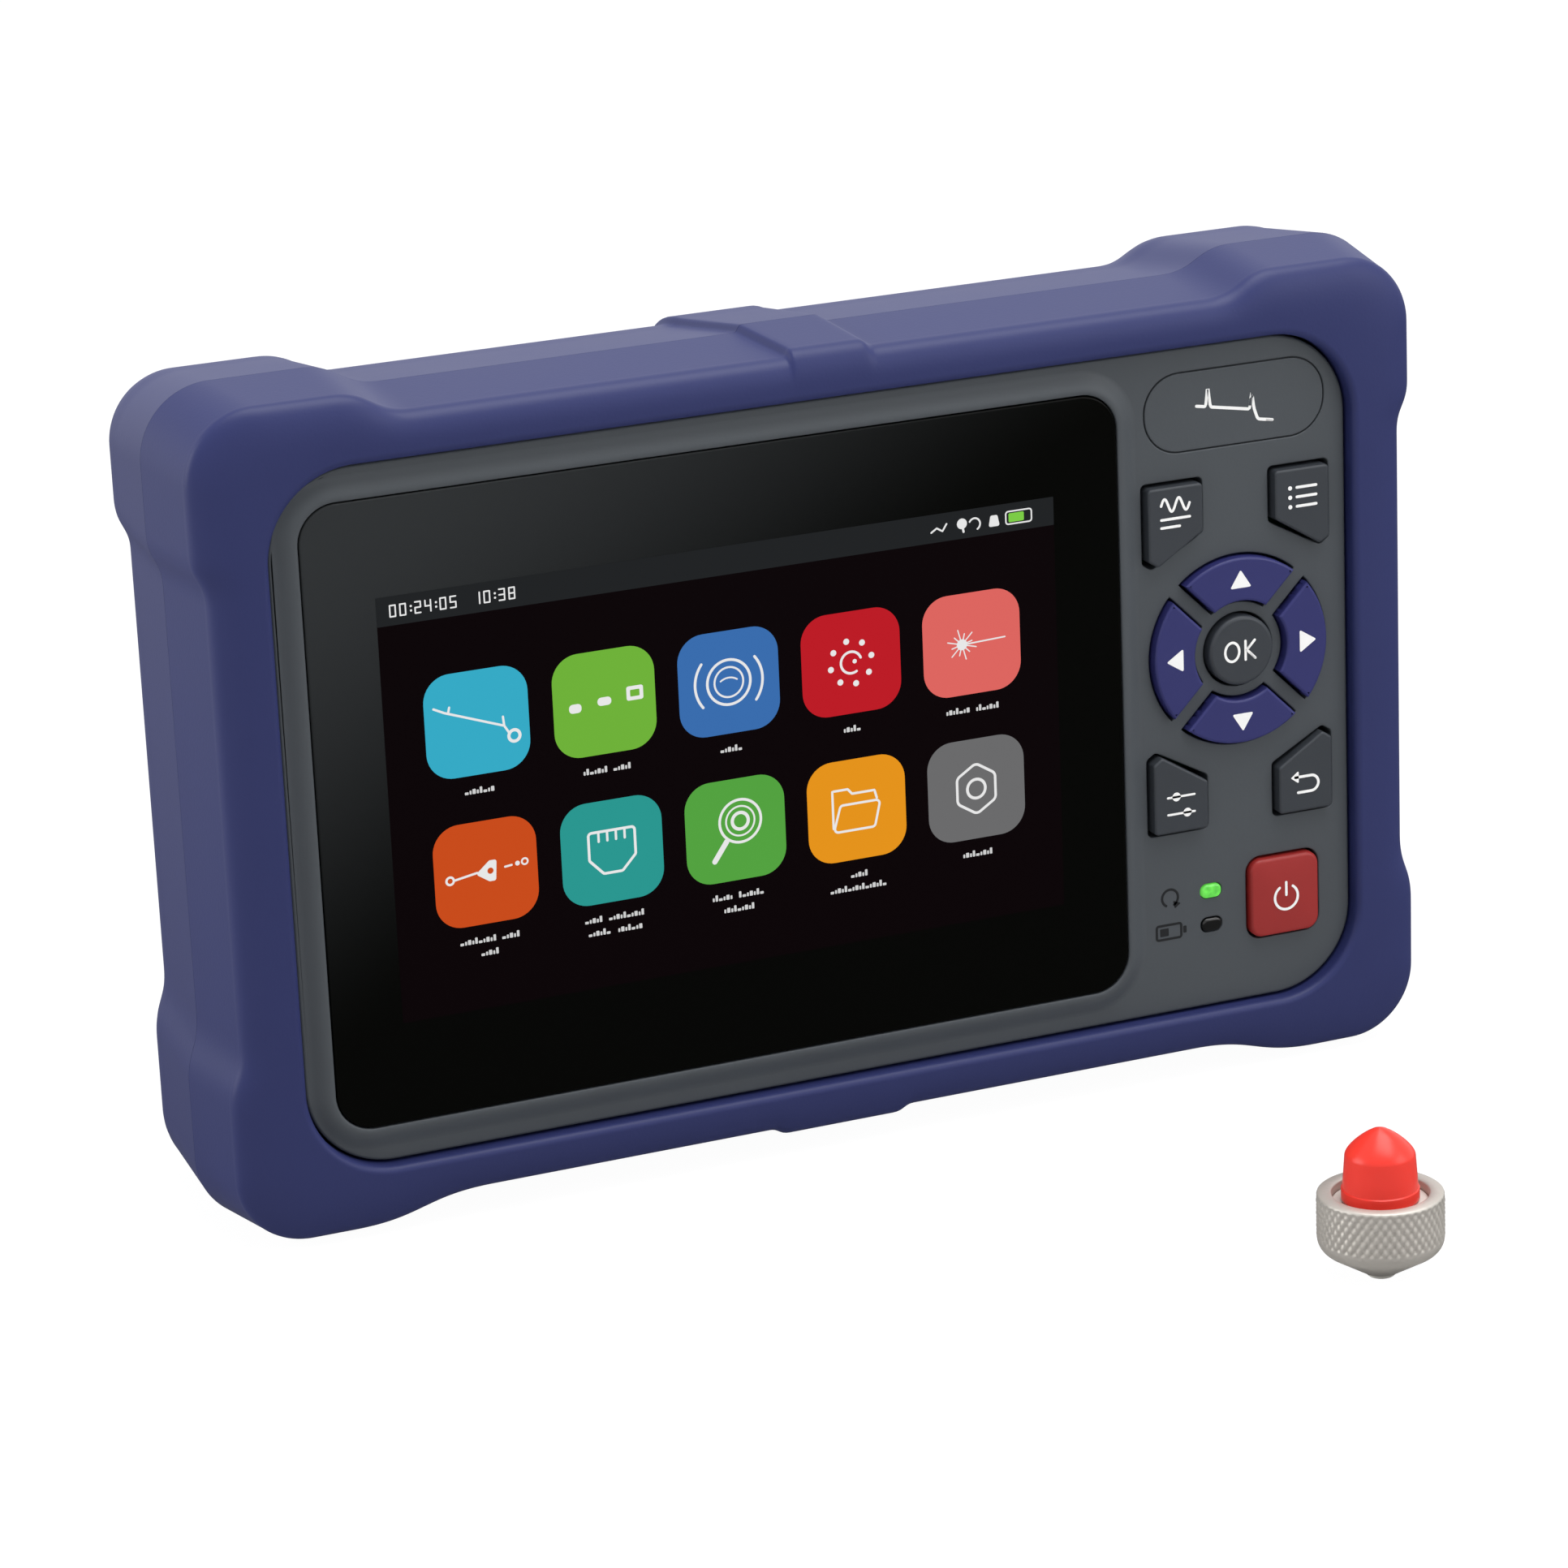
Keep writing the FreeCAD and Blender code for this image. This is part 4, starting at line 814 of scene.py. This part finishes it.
rays = [stroke(np.array([(math.cos(a) * 0.7, math.sin(a) * 0.7), (math.cos(a) * s, math.sin(a) * s)]), 0.16)
        for a, s in ((math.radians(15 + 30 * k), 2.1 if k % 2 else 1.5) for k in range(12))]
glyphs = [
    # falling trace that ends in a ring
    [line([(-5.7, 2.6), (-4.3, 1.9), (3.6, -1.0), (4.2, -2.0)], 0.3), ring(4.9, -2.5, 0.75, 0.42),
     line([(3.6, -1.0), (3.5, 0.2)], 0.3, 6), line([(-3.8, 1.7), (-3.6, 2.5)], 0.3, 6)],
    # three events in a row
    [bar(-4.0, -0.3, 1.7, 1.2, 0.5, 5), bar(0.0, 0.1, 1.9, 1.1, 0.5, 5),
     (frame_loop(4.2, 0.6, 2.3, 1.9, 0.3, 5), [frame_loop(4.2, 0.6, 1.3, 0.9, 0.1, 3)])],
    # meter dial between brackets
    [ring(0, 0, 3.0, 0.36), ring(0, 0, 2.0, 0.26), stroke(arc(0, 0, 4.7, -38, 38), 0.36),
     stroke(arc(0, 0, 4.7, 142, 218), 0.36), stroke(arc(0, -1.4, 2.0, 55, 125, 16), 0.22)],
    # shining source
    [dot(2.95 * math.cos(a), 2.95 * math.sin(a), 0.42) for a in np.arange(8) * math.pi / 4 + 0.2] +
    [stroke(arc(0, 0, 1.45, 20, 300), 0.34), dot(0.5, 0.1, 0.3)],
    # beam
    rays + [dot(0, 0, 0.75), line([(0.6, 0.0), (6.2, 0.2)], 0.2)],
    # loss test along a line
    [ring(-4.9, -0.4, 0.5, 0.3), line([(-4.2, -0.4), (-1.2, 0.1)], 0.3),
     (loop([(-1.4, -0.1), (0.4, -1.3), (1.3, -1.3), (1.5, 1.5), (0.5, 1.5)], 0.3, 5), [disc(0.6, 0.1, 0.42, 18)]),
     line([(2.6, 0.3), (3.5, 0.4)], 0.28, 6), dot(4.3, 0.5, 0.32), ring(5.3, 0.6, 0.4, 0.24)],
    # plug socket
    [stroke(loop([(-3.2, 2.8), (-3.2, -0.9), (-1.3, -2.9), (1.3, -2.9), (3.2, -0.9), (3.2, 2.8)], 0.45, 6),
            0.36, True)] +
    [line([(x, 2.7), (x, 1.5)], 0.32, 6) for x in (-1.8, -0.6, 0.6, 1.8)],
    # magnifier
    [ring(0.7, 1.1, 2.9, 0.36), ring(0.7, 1.1, 2.0, 0.24), line([(-1.3, -1.4), (-3.1, -3.9)], 0.75),
     (disc(0.7, 1.1, 1.35, 30), [disc(0.7, 1.1, 0.9, 24)])],
    # folder
    [stroke(loop([(-3.4, -2.8), (2.5, -2.8), (3.4, 0.8), (-2.3, 0.8)], 0.5, 6), 0.32, True),
     line([(-3.4, -2.2), (-3.4, 2.9), (-1.2, 2.9), (-0.6, 2.2), (2.6, 2.2), (2.9, 1.1)], 0.32)],
    # nut
    [stroke(loop([(3.2 * math.sin(k * math.pi / 3), 3.5 * math.cos(k * math.pi / 3)) for k in range(6)][::-1],
                 0.9, 8), 0.36, True),
     ring(0, 0, 1.3, 0.4)]]
shapes = []
for glyph, (x, z) in zip(glyphs, [(x, z) for z in tile_z for x in tile_x]):
    shift = (-1.4, 0) if glyph is glyphs[4] else (0, 0)
    shapes += moved(glyph, x + shift[0], z + shift[1])
digits = {"0": "abcdef", "1": "bc", "2": "abged", "4": "fgbc", "5": "afgcd", "8": "abcdefg", "3": "abgcd"}
bars = {"a": ((0, 2), (1, 2)), "b": ((1, 2), (1, 1)), "c": ((1, 1), (1, 0)), "d": ((0, 0), (1, 0)),
        "e": ((0, 1), (0, 0)), "f": ((0, 2), (0, 1)), "g": ((0, 1), (1, 1))}


def clock(text, x, z, high=1.45, width=0.19):
    """Seven-bar figures of a clock."""
    out = []
    for c in text:
        if c == ":":
            out += [dot(x + 0.1, z + high * 0.3, 0.15, 10), dot(x + 0.1, z + high * 0.7, 0.15, 10)]
            x += 0.65
            continue
        for letter in digits[c]:
            (ax, az), (bx, bz) = bars[letter]
            out.append(line([(x + ax * high * 0.5, z + az * high / 2), (x + bx * high * 0.5, z + bz * high / 2)],
                            width, 4))
        x += high * 0.5 + 0.62
    return out


shapes += clock("00:24:05", view_x0 + 1.8, 26.25) + clock("10:38", view_x0 + 13.0, 26.25)
# signal, link, bell in the status strip
shapes += [line([(view_x1 - 17.6, 26.5), (view_x1 - 16.8, 27.0), (view_x1 - 16.0, 26.5), (view_x1 - 15.4, 27.4)],
                0.24, 5),
           dot(view_x1 - 13.2, 27.1, 0.72, 16), line([(view_x1 - 13.2, 27.1), (view_x1 - 13.0, 26.0)], 0.3, 4),
           stroke(arc(view_x1 - 11.4, 26.8, 0.8, -60, 150, 16), 0.24),
           (loop([(view_x1 - 9.4, 26.1), (view_x1 - 7.8, 26.1), (view_x1 - 8.1, 27.6), (view_x1 - 9.1, 27.6)],
                 0.25, 5), []),
           stroke(loop([(view_x1 - 6.9, 26.1), (view_x1 - 3.2, 26.1), (view_x1 - 3.2, 27.8), (view_x1 - 6.9, 27.8)],
                       0.35, 5), 0.2, True)]
marks = piece("screen_marks", printed(shapes, 1.0, 0.028), "case", [lit("lit_white", (0.80, 0.80, 0.80))])
charge_bar = printed([bar(view_x1 - 5.4, 26.95, 2.2, 1.2, 0.15, 3)], 1.0, 0.028)
charge = piece("screen_charge", charge_bar, "case", [lit("lit_green", (0.20, 0.60, 0.06))])
# under each tile, by column and row, one or two lines of words, of which only the lengths are kept
captions = [(0, 0, (4.4,)), (1, 0, (3.4, 2.6)), (2, 0, (3.2,)), (3, 0, (2.8,)), (4, 0, (3.6, 3.6)),
            (0, 1, (5.0, 2.4), (2.6,)), (1, 1, (2.6, 5.2), (3.4, 3.6)), (2, 1, (3.0, 3.6), (4.2,)),
            (3, 1, (2.4,), (8.4,)), (4, 1, (4.4,))]
# each word is a row of small blocks on one base line: (width, height) of each kind of block
blocks = ((0.34, 0.84), (0.5, 0.5), (0.5, 0.34), (0.26, 0.5), (0.44, 0.66))
word_gap = 0.7
shapes, turn_by = [], 0
for column, row, *lines in captions:
    for n, words in enumerate(lines):
        x = tile_x[column] - (sum(words) + word_gap * (len(words) - 1)) / 2
        for long in words:
            start = x
            while x < start + long - 0.3:
                turn_by = (turn_by * 3 + 2) % 11
                wide, high = blocks[turn_by % 5]
                shapes.append(bar(x + wide / 2, tile_z[row] - 9.35 - 1.8 * n + high / 2, wide, high, 0.08, 3))
                x += wide + 0.14
            x = start + long + word_gap
bars_made = piece("screen_captions", printed(shapes, 1.0, 0.028), "case", [lit("lit_caption", (0.62, 0.62, 0.62))])

# ---- keys ----
# Ten hard caps that stand in the panel's holes on a shared switch board: four corner keys in grey, four
# arrow keys in blue round a grey centre key, and a red power key with a crowned face.
key_face, key_back = 0.8, 5.4
key_grey = moulding("key_grey", (0.041, 0.047, 0.056), 0.45, specular=0.35, grain=0.08)
key_blue = moulding("key_blue", (0.029, 0.031, 0.148), 0.42, specular=0.35, grain=0.08)
key_red = moulding("key_red", (0.34, 0.024, 0.022), 0.4, specular=0.35, grain=0.08)


def key(name, outline, finish, edge=0.35, high=key_face):
    made = even(piece("cap_" + name, [plate(outline, high, key_back, edge)], "key_" + name + "_body", [finish]))
    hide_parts("key_" + name)
    return made


def ink(name, shapes, body, finish=None, face=key_face):
    made = piece(name, printed(shapes, face, 0.03), body, [finish or white_print])
    return made


for name, a in arrows:
    key(name, sector(6.9, 12.9, 1.35, a), key_blue)
    c, s = math.cos(a), math.sin(a)
    tip = np.array([(1.3, 0.0), (-1.2, 1.6), (-1.2, -1.6)])
    middle = 9.95
    tip = np.stack([pad_x + (tip[:, 0] + middle) * c - tip[:, 1] * s,
                    pad_z + (tip[:, 0] + middle) * s + tip[:, 1] * c], -1)
    ink("arrow_" + name, [(loop(tip, 0.15, 4), [])], "key_" + name + "_body")
key("ok", disc(pad_x, pad_z, 4.8, 72), key_grey, 0.5)
ok = [ring(-1.25, 0, 1.05, 0.36, 32, 1.25), line([(0.75, -1.3), (0.75, 1.3)], 0.36, 6),
      line([(2.15, 1.25), (0.95, 0.05), (2.2, -1.25)], 0.36, 6)]
ink("ok_mark", moved(ok, pad_x - 0.2, pad_z), "key_ok_body")
wave = np.linspace(0, 4 * math.pi, 40)
corner_marks = {
    # wave over a baseline, list, two sliders, turn-back arrow
    "upper_left": [stroke(np.stack([np.linspace(-2.1, 2.1, 40), 1.0 + 0.9 * np.sin(wave)], -1), 0.36),
                   line([(-2.1, -0.9), (2.1, -0.9)], 0.36, 6), line([(-2.1, -2.0), (0.6, -2.0)], 0.36, 6)],
    "upper_right": [line([(-0.9, z), (2.0, z)], 0.38, 6) for z in (-1.3, 0.0, 1.3)] +
                   [dot(-1.9, z, 0.3, 14) for z in (-1.3, 0.0, 1.3)],
    "lower_left": [line([(-2.0, z), (2.0, z)], 0.3, 6) for z in (1.2, -1.2)] +
                  [dot(-0.7, 1.2, 0.62, 18), dot(0.9, -1.2, 0.62, 18)],
    "lower_right": [stroke(np.concatenate([bent([(-1.7, 1.0), (0.7, 1.0)], 6), arc(0.7, -0.1, 1.1, 88, -90, 16),
                                           bent([(0.7, -1.2), (-1.3, -1.2)], 6)[1:]]), 0.38),
                    (loop([(-2.4, 1.0), (-1.2, 0.1), (-1.2, 1.9)], 0.1, 4), [])]}
for name, sx, sz in corners:
    key(name, corner_key(sx, sz, 0.0, 0.55), key_grey, 0.3)
    x, z = pad_x + sx * 9.5, pad_z + sz * (20.1 if name != "upper_left" else 20.6)
    ink("mark_" + name, moved(corner_marks[name], x, z), "key_" + name + "_body")
# power key: crowned, rings of the rounded square shrink towards the middle as the face rises
rim = frame_loop(0, 0, power_w, power_h, 1.8, 12)
levels = [(1.0, key_back), (1.0, key_face + 0.95)]    # (share of the rim, depth)
for a in np.linspace(0, math.pi / 2, 7)[1:]:
    levels.append((1 - 0.09 * (1 - math.cos(a)), key_face + 0.95 - 0.6 * math.sin(a)))
for k in np.linspace(0.91, 0.06, 9)[1:]:
    levels.append((k, key_face + 0.35 - 0.30 * (1 - (k / 0.91) ** 2)))
crowned = np.array([on_front(power_x + rim[:, 0] * k, power_z + rim[:, 1] * k, d) for k, d in levels])
verts, quads = skin(crowned, closed=False)
n = len(rim)
quads += [list(range(n))[::-1], list(range(len(levels) * n - n, len(levels) * n))]
power = piece("cap_power", [(verts, quads)], "key_power_body", [key_red])
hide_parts("key_power")
power_sign = [stroke(arc(0, -0.2, 1.75, 125, 415, 44), 0.36), line([(0, 0.1), (0, 1.9)], 0.36, 8)]
ink("power_mark", moved(power_sign, power_x, power_z), "key_power_body", face=key_face + 0.055)

# ---- lamps and their signs ----
# Two light pipes under the keys: the upper one glows green, the lower one is off. Dark signs beside them.
lamp_green, tree, shader = blank_finish("lamp_green")
wire = tree.links.new
where = node(tree, "ShaderNodeTexCoord")
cell = node(tree, "ShaderNodeTexNoise", [("Scale", 900)])
mix = node(tree, "ShaderNodeMixRGB", (("Color1", (0.02, 0.22, 0.02, 1)), ("Color2", (0.16, 0.72, 0.09, 1))))
wire(where.outputs["Object"], cell.inputs["Vector"])
wire(cell.outputs["Fac"], mix.inputs["Fac"])
wire(mix.outputs["Color"], shader.inputs["Emission Color"])
wire(mix.outputs["Color"], shader.inputs["Base Color"])
shader.inputs["Emission Strength"].default_value = 0.7
shader.inputs["Roughness"].default_value = 0.2
lamp_dark = moulding("lamp_dark", (0.005, 0.005, 0.005), 0.15, specular=0.5, grain=0.02)
for name, z, finish, slot in (("upper", led_z[0], lamp_green, "lamp_green"),
                              ("lower", led_z[1], lamp_dark, "lamp_dark")):
    window = plate(frame_loop(led_x, z, 3.0, 1.9, 0.85, 8), 1.7, 5.4, 0.35)
    lens = even(piece("lens_" + name, [window], "case", [finish]))
    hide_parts("lamp_" + name)
dark_print = moulding("dark_print", (0.010, 0.011, 0.013), 0.6, grain=0.05)
charging = [stroke(loop([(-2.1, -1.0), (1.6, -1.0), (1.6, 1.0), (-2.1, 1.0)], 0.3, 5), 0.34, True),
            bar(2.15, 0, 0.5, 1.0, 0.1, 3), bar(-0.95, 0, 1.3, 1.1, 0.1, 3)]
running = [stroke(arc(0, 0, 1.2, -60, 240, 30), 0.34), (loop([(1.6, -0.95), (0.7, -1.6), (0.45, -0.45)], 0.08, 4), [])]
signs = moved(charging, led_x - 6.2, led_z[1]) + moved(running, led_x - 6.2, led_z[0])
ink("lamp_signs", signs, "case", dark_print, face=2.0)

# ---- ports and caps ----
# Three nickel-plated fibre adapters screwed into the bay in the right side, each under a soft ribbed cap.
nickel = moulding("nickel_plate", (0.66, 0.64, 0.60), 0.24, metal=1.0, grain=0.04, wander=0.2)
ceramic = moulding("white_ceramic", (0.80, 0.79, 0.76), 0.3, grain=0.02)
black_rubber = moulding("black_rubber", (0.022, 0.022, 0.024), 0.62, specular=0.3, grain=0.3, scale=1500)
bay_x, bay_depth = 75.5, 25.6


def turned(profile, put, n=72, knurl=None):
    """Solid of revolution from (radius, height) points; knurl may add to each radius by height and angle."""
    p = np.asarray(profile, float)
    a = np.arange(n) * 2 * math.pi / n
    r = np.maximum(p[:, :1], 1e-5) + 0 * a[None]
    h = p[:, 1:] + 0 * a[None]
    if knurl is not None:
        r = r + knurl(r, h, a[None] + 0 * h)
    verts, quads = skin(put(r * np.cos(a), r * np.sin(a), h).reshape(len(p), n, 3), closed=False)
    quads += [list(range(n))[::-1], list(range((len(p) - 1) * n, len(p) * n))]
    return verts, quads


def along_x(z):
    """Puts a turned part on its axis in the bay, with its height running out to the right."""
    return lambda u, v, h: np.stack([bay_x + h, bay_depth - half_thick + u, mid_z + z + v], -1) / 1000


for name, z in (("test", 1.0), ("meter", 12.75), ("fault_light", 24.5)):
    put = along_x(z)

    def upon(u, v, d, put=put):
        u = np.asarray(u, float)
        return put(u, np.asarray(v, float), np.asarray(d, float) + 0 * u)

    flat = plate(loop([(-5.2, -5.2), (5.2, -5.2), (5.2, 5.2), (-5.2, 5.2)], 1.2, 5), 1.2, 0.0, 0.2,
                 holes=[disc(0, 0, 3.9, 48)], put=upon)
    thread = [(4.0 - 0.12 * (k % 2), 6.9 - 0.28 * k) for k in range(18)]
    barrel = turned([(1.3, 1.2), (1.3, 7.0), (1.5, 7.2), (2.0, 7.2), (2.1, 7.1), (2.1, 1.7), (3.3, 1.7), (3.3, 6.9),
                     (3.5, 7.2), (3.85, 7.2), (4.0, 7.05)] + thread + [(4.0, 1.7), (4.0, 0.3), (1.3, 0.3)], put, 64)
    screws = [turned([(0.001, 1.2), (0.85, 1.2), (0.85, 1.55), (0.6, 1.75), (0.001, 1.75)],
                     lambda u, v, h, dx=dx, dz=dz, put=put: put(u + dx, v + dz, h), 20)
              for dx, dz in ((-4.0, 4.0), (4.0, -4.0))]
    made = piece("adapter_" + name, [flat, barrel] + screws, "case", [nickel])
    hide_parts(name + "_port")
    bush = turned([(1.31, 1.3), (1.31, 6.9), (1.6, 6.9), (1.6, 1.3)], put, 40)
    sleeve = piece("sleeve_" + name, [bush], "case", [ceramic])
    low, high, out = 1.5, 9.9, 4.88
    wall = [(4.12, low), (4.12, 7.4), (0.001, 7.4)]
    outside = [(0.001, high), (3.4, high), (4.1, high - 0.12), (4.55, high - 0.5), (out - 0.1, high - 1.0)]
    ribs = []
    for k in range(4):
        h = high - 1.5 - 1.5 * k
        ribs += [(out - 0.28, h), (out, h - 0.25), (out, h - 0.85), (out - 0.28, h - 1.1)]
    profile = wall[::-1] + [(4.12, low), (out - 0.15, low), (out, low + 0.2)] + ribs[::-1] + outside[::-1]
    cap = piece("dust_cap_" + name, [turned(profile, put, 64)], name + "_cap_body", [black_rubber])
    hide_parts(name + "_cap")

# ---- sockets and their flap ----
# A data socket and a charging socket behind a soft flap that hinges on a thin rolled edge.
steel = moulding("socket_steel", (0.55, 0.55, 0.55), 0.3, metal=1.0, grain=0.03, wander=0.15)
refinish("usb_socket", steel)
refinish("charge_socket", moulding("socket_black", (0.02, 0.02, 0.022), 0.4, grain=0.08))
flap_rubber = moulding("flap_rubber", (0.027, 0.031, 0.115), 0.55, specular=0.25, grain=0.2, scale=1800)
flap_x = side_x
flap_shape = loop([(17.75, -26.0), (28.0, -26.0), (28.0, -8.5), (17.75, -8.5)], [0.2, 1.5, 1.5, 0.2], 8)
flap_plate = plate(flap_shape, flap_x, flap_x - 1.45, 0.0, put=on_side)
roll = turned([(0.001, -26.0), (0.6, -26.0), (0.74, -25.85), (0.74, -8.65), (0.6, -8.5), (0.001, -8.5)],
              lambda u, v, h: np.stack([flap_x - 0.75 + u, 17.75 - half_thick + v, mid_z + h], -1) / 1000, 28)
tab = plate(frame_loop(27.0, -17.25, 1.1, 5.0, 0.5, 6), flap_x + 0.35, flap_x - 0.2, 0.0, put=on_side)
flap = piece("socket_flap_rubber", [flap_plate, roll, tab], "flap_body", [flap_rubber])
soft_edge = flap.modifiers.new("soft_edge", "BEVEL")
soft_edge.width = 0.00022
soft_edge.segments = 2
soft_edge.limit_method = "ANGLE"
soft_edge.angle_limit = math.radians(50)
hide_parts("socket_flap")

# ---- battery and its cover ----
# Wrapped battery pack under a charcoal cover that lies flush in the back, with finger ridges at its foot.
charcoal = moulding("charcoal_moulding", (0.030, 0.034, 0.038), 0.52, specular=0.3, grain=0.16)


def on_back(u, v, d):
    """As on_front, for plates whose face looks backwards: d is measured inwards from the rear face."""
    return on_front(u, v, 39.0 - np.asarray(d, float))


cover = even(piece("battery_lid", [plate(frame_loop(0, 2.5, 54.0, 41.0, 4.0, 12), 0.0, 2.6, 0.5, put=on_back)],
                   "battery_cover_body", [charcoal]))
ridges = [plate(frame_loop(0, -13.0 + 2.2 * k, 18.0, 1.1, 0.5, 6), -1.0, 0.55, put=on_back) for k in range(5)]
pointer = plate(loop([(-3.0, 0.9), (3.0, 0.9), (0.0, -2.1)][::-1], 0.3, 4), -1.0, 0.35, put=on_back)
carve(cover, [("DIFFERENCE", cut) for cut in ridges + [pointer]])
crease_edges(cover.data, 20)
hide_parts("battery_cover")
refinish("battery_pack", moulding("battery_wrap", (0.035, 0.04, 0.05), 0.35, grain=0.05, wander=0.15))

# ---- folding stand ----
# U-shaped charcoal leg let into the back, on moulded pivots at its upper ends, with a rubber strip on its foot.
u_leg = [(-42.0, -32.0), (42.0, -32.0), (42.0, 28.0), (34.0, 28.0), (34.0, -23.0), (-34.0, -23.0),
         (-34.0, 28.0), (-42.0, 28.0)]
leg = plate(loop(u_leg, [4.0, 4.0, 0.3, 0.3, 3.0, 3.0, 0.3, 0.3], 10), 0.0, 4.0, 0.5, put=on_back)
pivots = []
for side in (-1, 1):
    def put(u, v, h, side=side):
        return on_front(side * h, 28.0 + v, 37.0 + u)
    pivots.append(turned([(0.001, 34.0), (1.8, 34.0), (2.0, 34.2), (2.0, 41.8), (1.8, 42.0), (1.5, 42.0),
                          (1.5, 45.2), (1.3, 45.4), (0.001, 45.4)], put, 36))
stand = even(piece("stand_leg", [leg] + pivots, "stand_body", [charcoal]))
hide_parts("stand")
strip_proud = 0.04
foot_strip = plate(frame_loop(0, -28.6, 60.0, 3.2, 1.5, 8), 0.0, 0.5,
                   put=lambda u, v, d: on_back(u, v, np.asarray(d, float) - strip_proud))
foot = even(piece("stand_foot", [foot_strip], "stand_body", [black_rubber]))

# ---- case screws ----
# Four cross-head screws deep in the back.
zinc = moulding("zinc_screw", (0.42, 0.42, 0.43), 0.35, metal=1.0, grain=0.05, wander=0.2)
cross = np.array([(0.35, 1.3), (-0.35, 1.3), (-0.35, 0.35), (-1.3, 0.35), (-1.3, -0.35), (-0.35, -0.35),
                  (-0.35, -1.3), (0.35, -1.3), (0.35, -0.35), (1.3, -0.35), (1.3, 0.35), (0.35, 0.35)])
heads = [plate(disc(x, z, 2.8, 40), 3.2, 5.2, 0.5, holes=[cross + (x, z)], put=on_back) for x, z in screw_places]
heads += [plate(disc(x, z, 1.9, 24), 4.2, 4.9, 0.0, put=on_back) for x, z in screw_places]
screws = piece("case_screws", heads, "case", [zinc])

# ---- boards and optics inside ----
# Seen only with the case open: green boards, a tinned can, a cast optics block, and fibre on its spool.
refinish("keypad_board", moulding("keypad_board_green", (0.012, 0.12, 0.05), 0.35, grain=0.1, scale=700, wander=0.3))
refinish("main_board", moulding("main_board_green", (0.010, 0.10, 0.045), 0.35, grain=0.1, scale=700, wander=0.3))
refinish("shield_can", moulding("tinned_can", (0.6, 0.6, 0.58), 0.35, metal=1.0, wander=0.25))
refinish("optical_module", moulding("cast_housing", (0.25, 0.25, 0.27), 0.45, metal=0.9, grain=0.2, scale=900))
refinish("fibre_spool", moulding("spool_white", (0.7, 0.7, 0.68), 0.5))
refinish("fibre_coil", moulding("fibre_yellow", (0.75, 0.45, 0.03), 0.45, grain=0.4, scale=400, wander=0.2))

# ---- spare port adapter and its dust cap ----
# A knurled nickel-coloured ring with a turned core stands on its nozzle; a red vinyl cap covers the core.
spare_x, spare_y = 39.8, -90.6


def upright(u, v, h):
    return np.stack([spare_x + u, spare_y + v, h], -1) / 1000


def knurled(r, h, a):
    """Shallow diamond pattern on the ring's wall: two crossed sets of waves that fade out at its edges."""
    fade = np.clip((h - 4.9) / 0.6, 0, 1) * np.clip((10.9 - h) / 0.5, 0, 1) * (r > 7.9)
    return 0.16 * fade * (np.abs(np.sin(22 * a + 1.9 * h)) + np.abs(np.sin(22 * a - 1.9 * h)) - 1.6)


ring_profile = [(1.9, 0.62), (2.3, 0.6)]
for a in np.linspace(math.radians(-57), 0, 10):
    ring_profile.append((5.8 + 2.12 * math.cos(a), 5.3 + 2.2 * math.sin(a)))
ring_profile += [(7.92, h) for h in np.linspace(5.4, 10.8, 40)]
ring_profile += [(7.86, 10.98), (7.7, 11.1), (6.3, 11.1), (6.12, 11.03), (6.05, 10.9), (6.05, 9.86), (4.1, 9.86),
                 (4.1, 3.0), (1.9, 3.0)]
cast = moulding("brushed_nickel", (0.50, 0.47, 0.43), 0.45, metal=0.45, grain=0.5, scale=900, wander=0.35)
knurl_ring = piece("knurled_ring", [turned(ring_profile, upright, 264, knurled)], "adapter_body", [cast], sharp=50)
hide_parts("adapter_ring")
core_profile = [(1.27, 0.02), (1.6, 0.0), (1.8, 0.15), (1.8, 2.98), (4.0, 2.98), (4.0, 9.88), (5.9, 9.88),
                (5.9, 10.0), (3.3, 10.0), (3.1, 10.1), (3.1, 15.3), (2.9, 15.5), (1.5, 15.5), (1.27, 15.3)]
core = piece("turned_core", [turned(core_profile, upright, 72)], "adapter_body",
             [moulding("bead_blasted", (0.70, 0.68, 0.63), 0.5, metal=0.3, grain=0.3, scale=1400, wander=0.2)])
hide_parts("adapter_core")
cap_low, cap_wall, cap_top = 10.15, 15.85, 19.63
brim_high = 1.62
brim_r, wall_r = 4.72, 4.42    # the wall tapers from the brim up to the shoulder
cap_profile = [(0.02, 15.9), (3.0, 15.9), (3.2, 15.7)]
cap_profile += [(3.2, cap_low), (4.7, cap_low), (4.88, cap_low + 0.18), (4.87, cap_low + 1.5),
                (brim_r, cap_low + brim_high)]
cap_profile += [(brim_r + (wall_r - brim_r) * t, cap_low + brim_high + (cap_wall - cap_low - brim_high) * t)
                for t in np.linspace(0.1, 1, 6)]
for t in np.linspace(0.08, 1, 16):
    cap_profile.append((wall_r * (1 - t ** 2.1) ** 0.72 if t < 1 else 0.02,
                        cap_wall + (cap_top - cap_wall) * (0.55 * t + 0.45 * t ** 2.4)))
red_vinyl = moulding("red_vinyl", (0.86, 0.045, 0.030), 0.3, specular=0.3, grain=0.03, wander=0.06)
shader = red_vinyl.node_tree.nodes["Principled BSDF"]
shader.inputs["Subsurface Weight"].default_value = 0.1
shader.inputs["Subsurface Radius"].default_value = (1.0, 0.2, 0.1)
shader.inputs["Subsurface Scale"].default_value = 0.002
red_cap = piece("red_cap", [turned(cap_profile, upright, 96)], "spare_cap_body", [red_vinyl])
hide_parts("spare_cap")
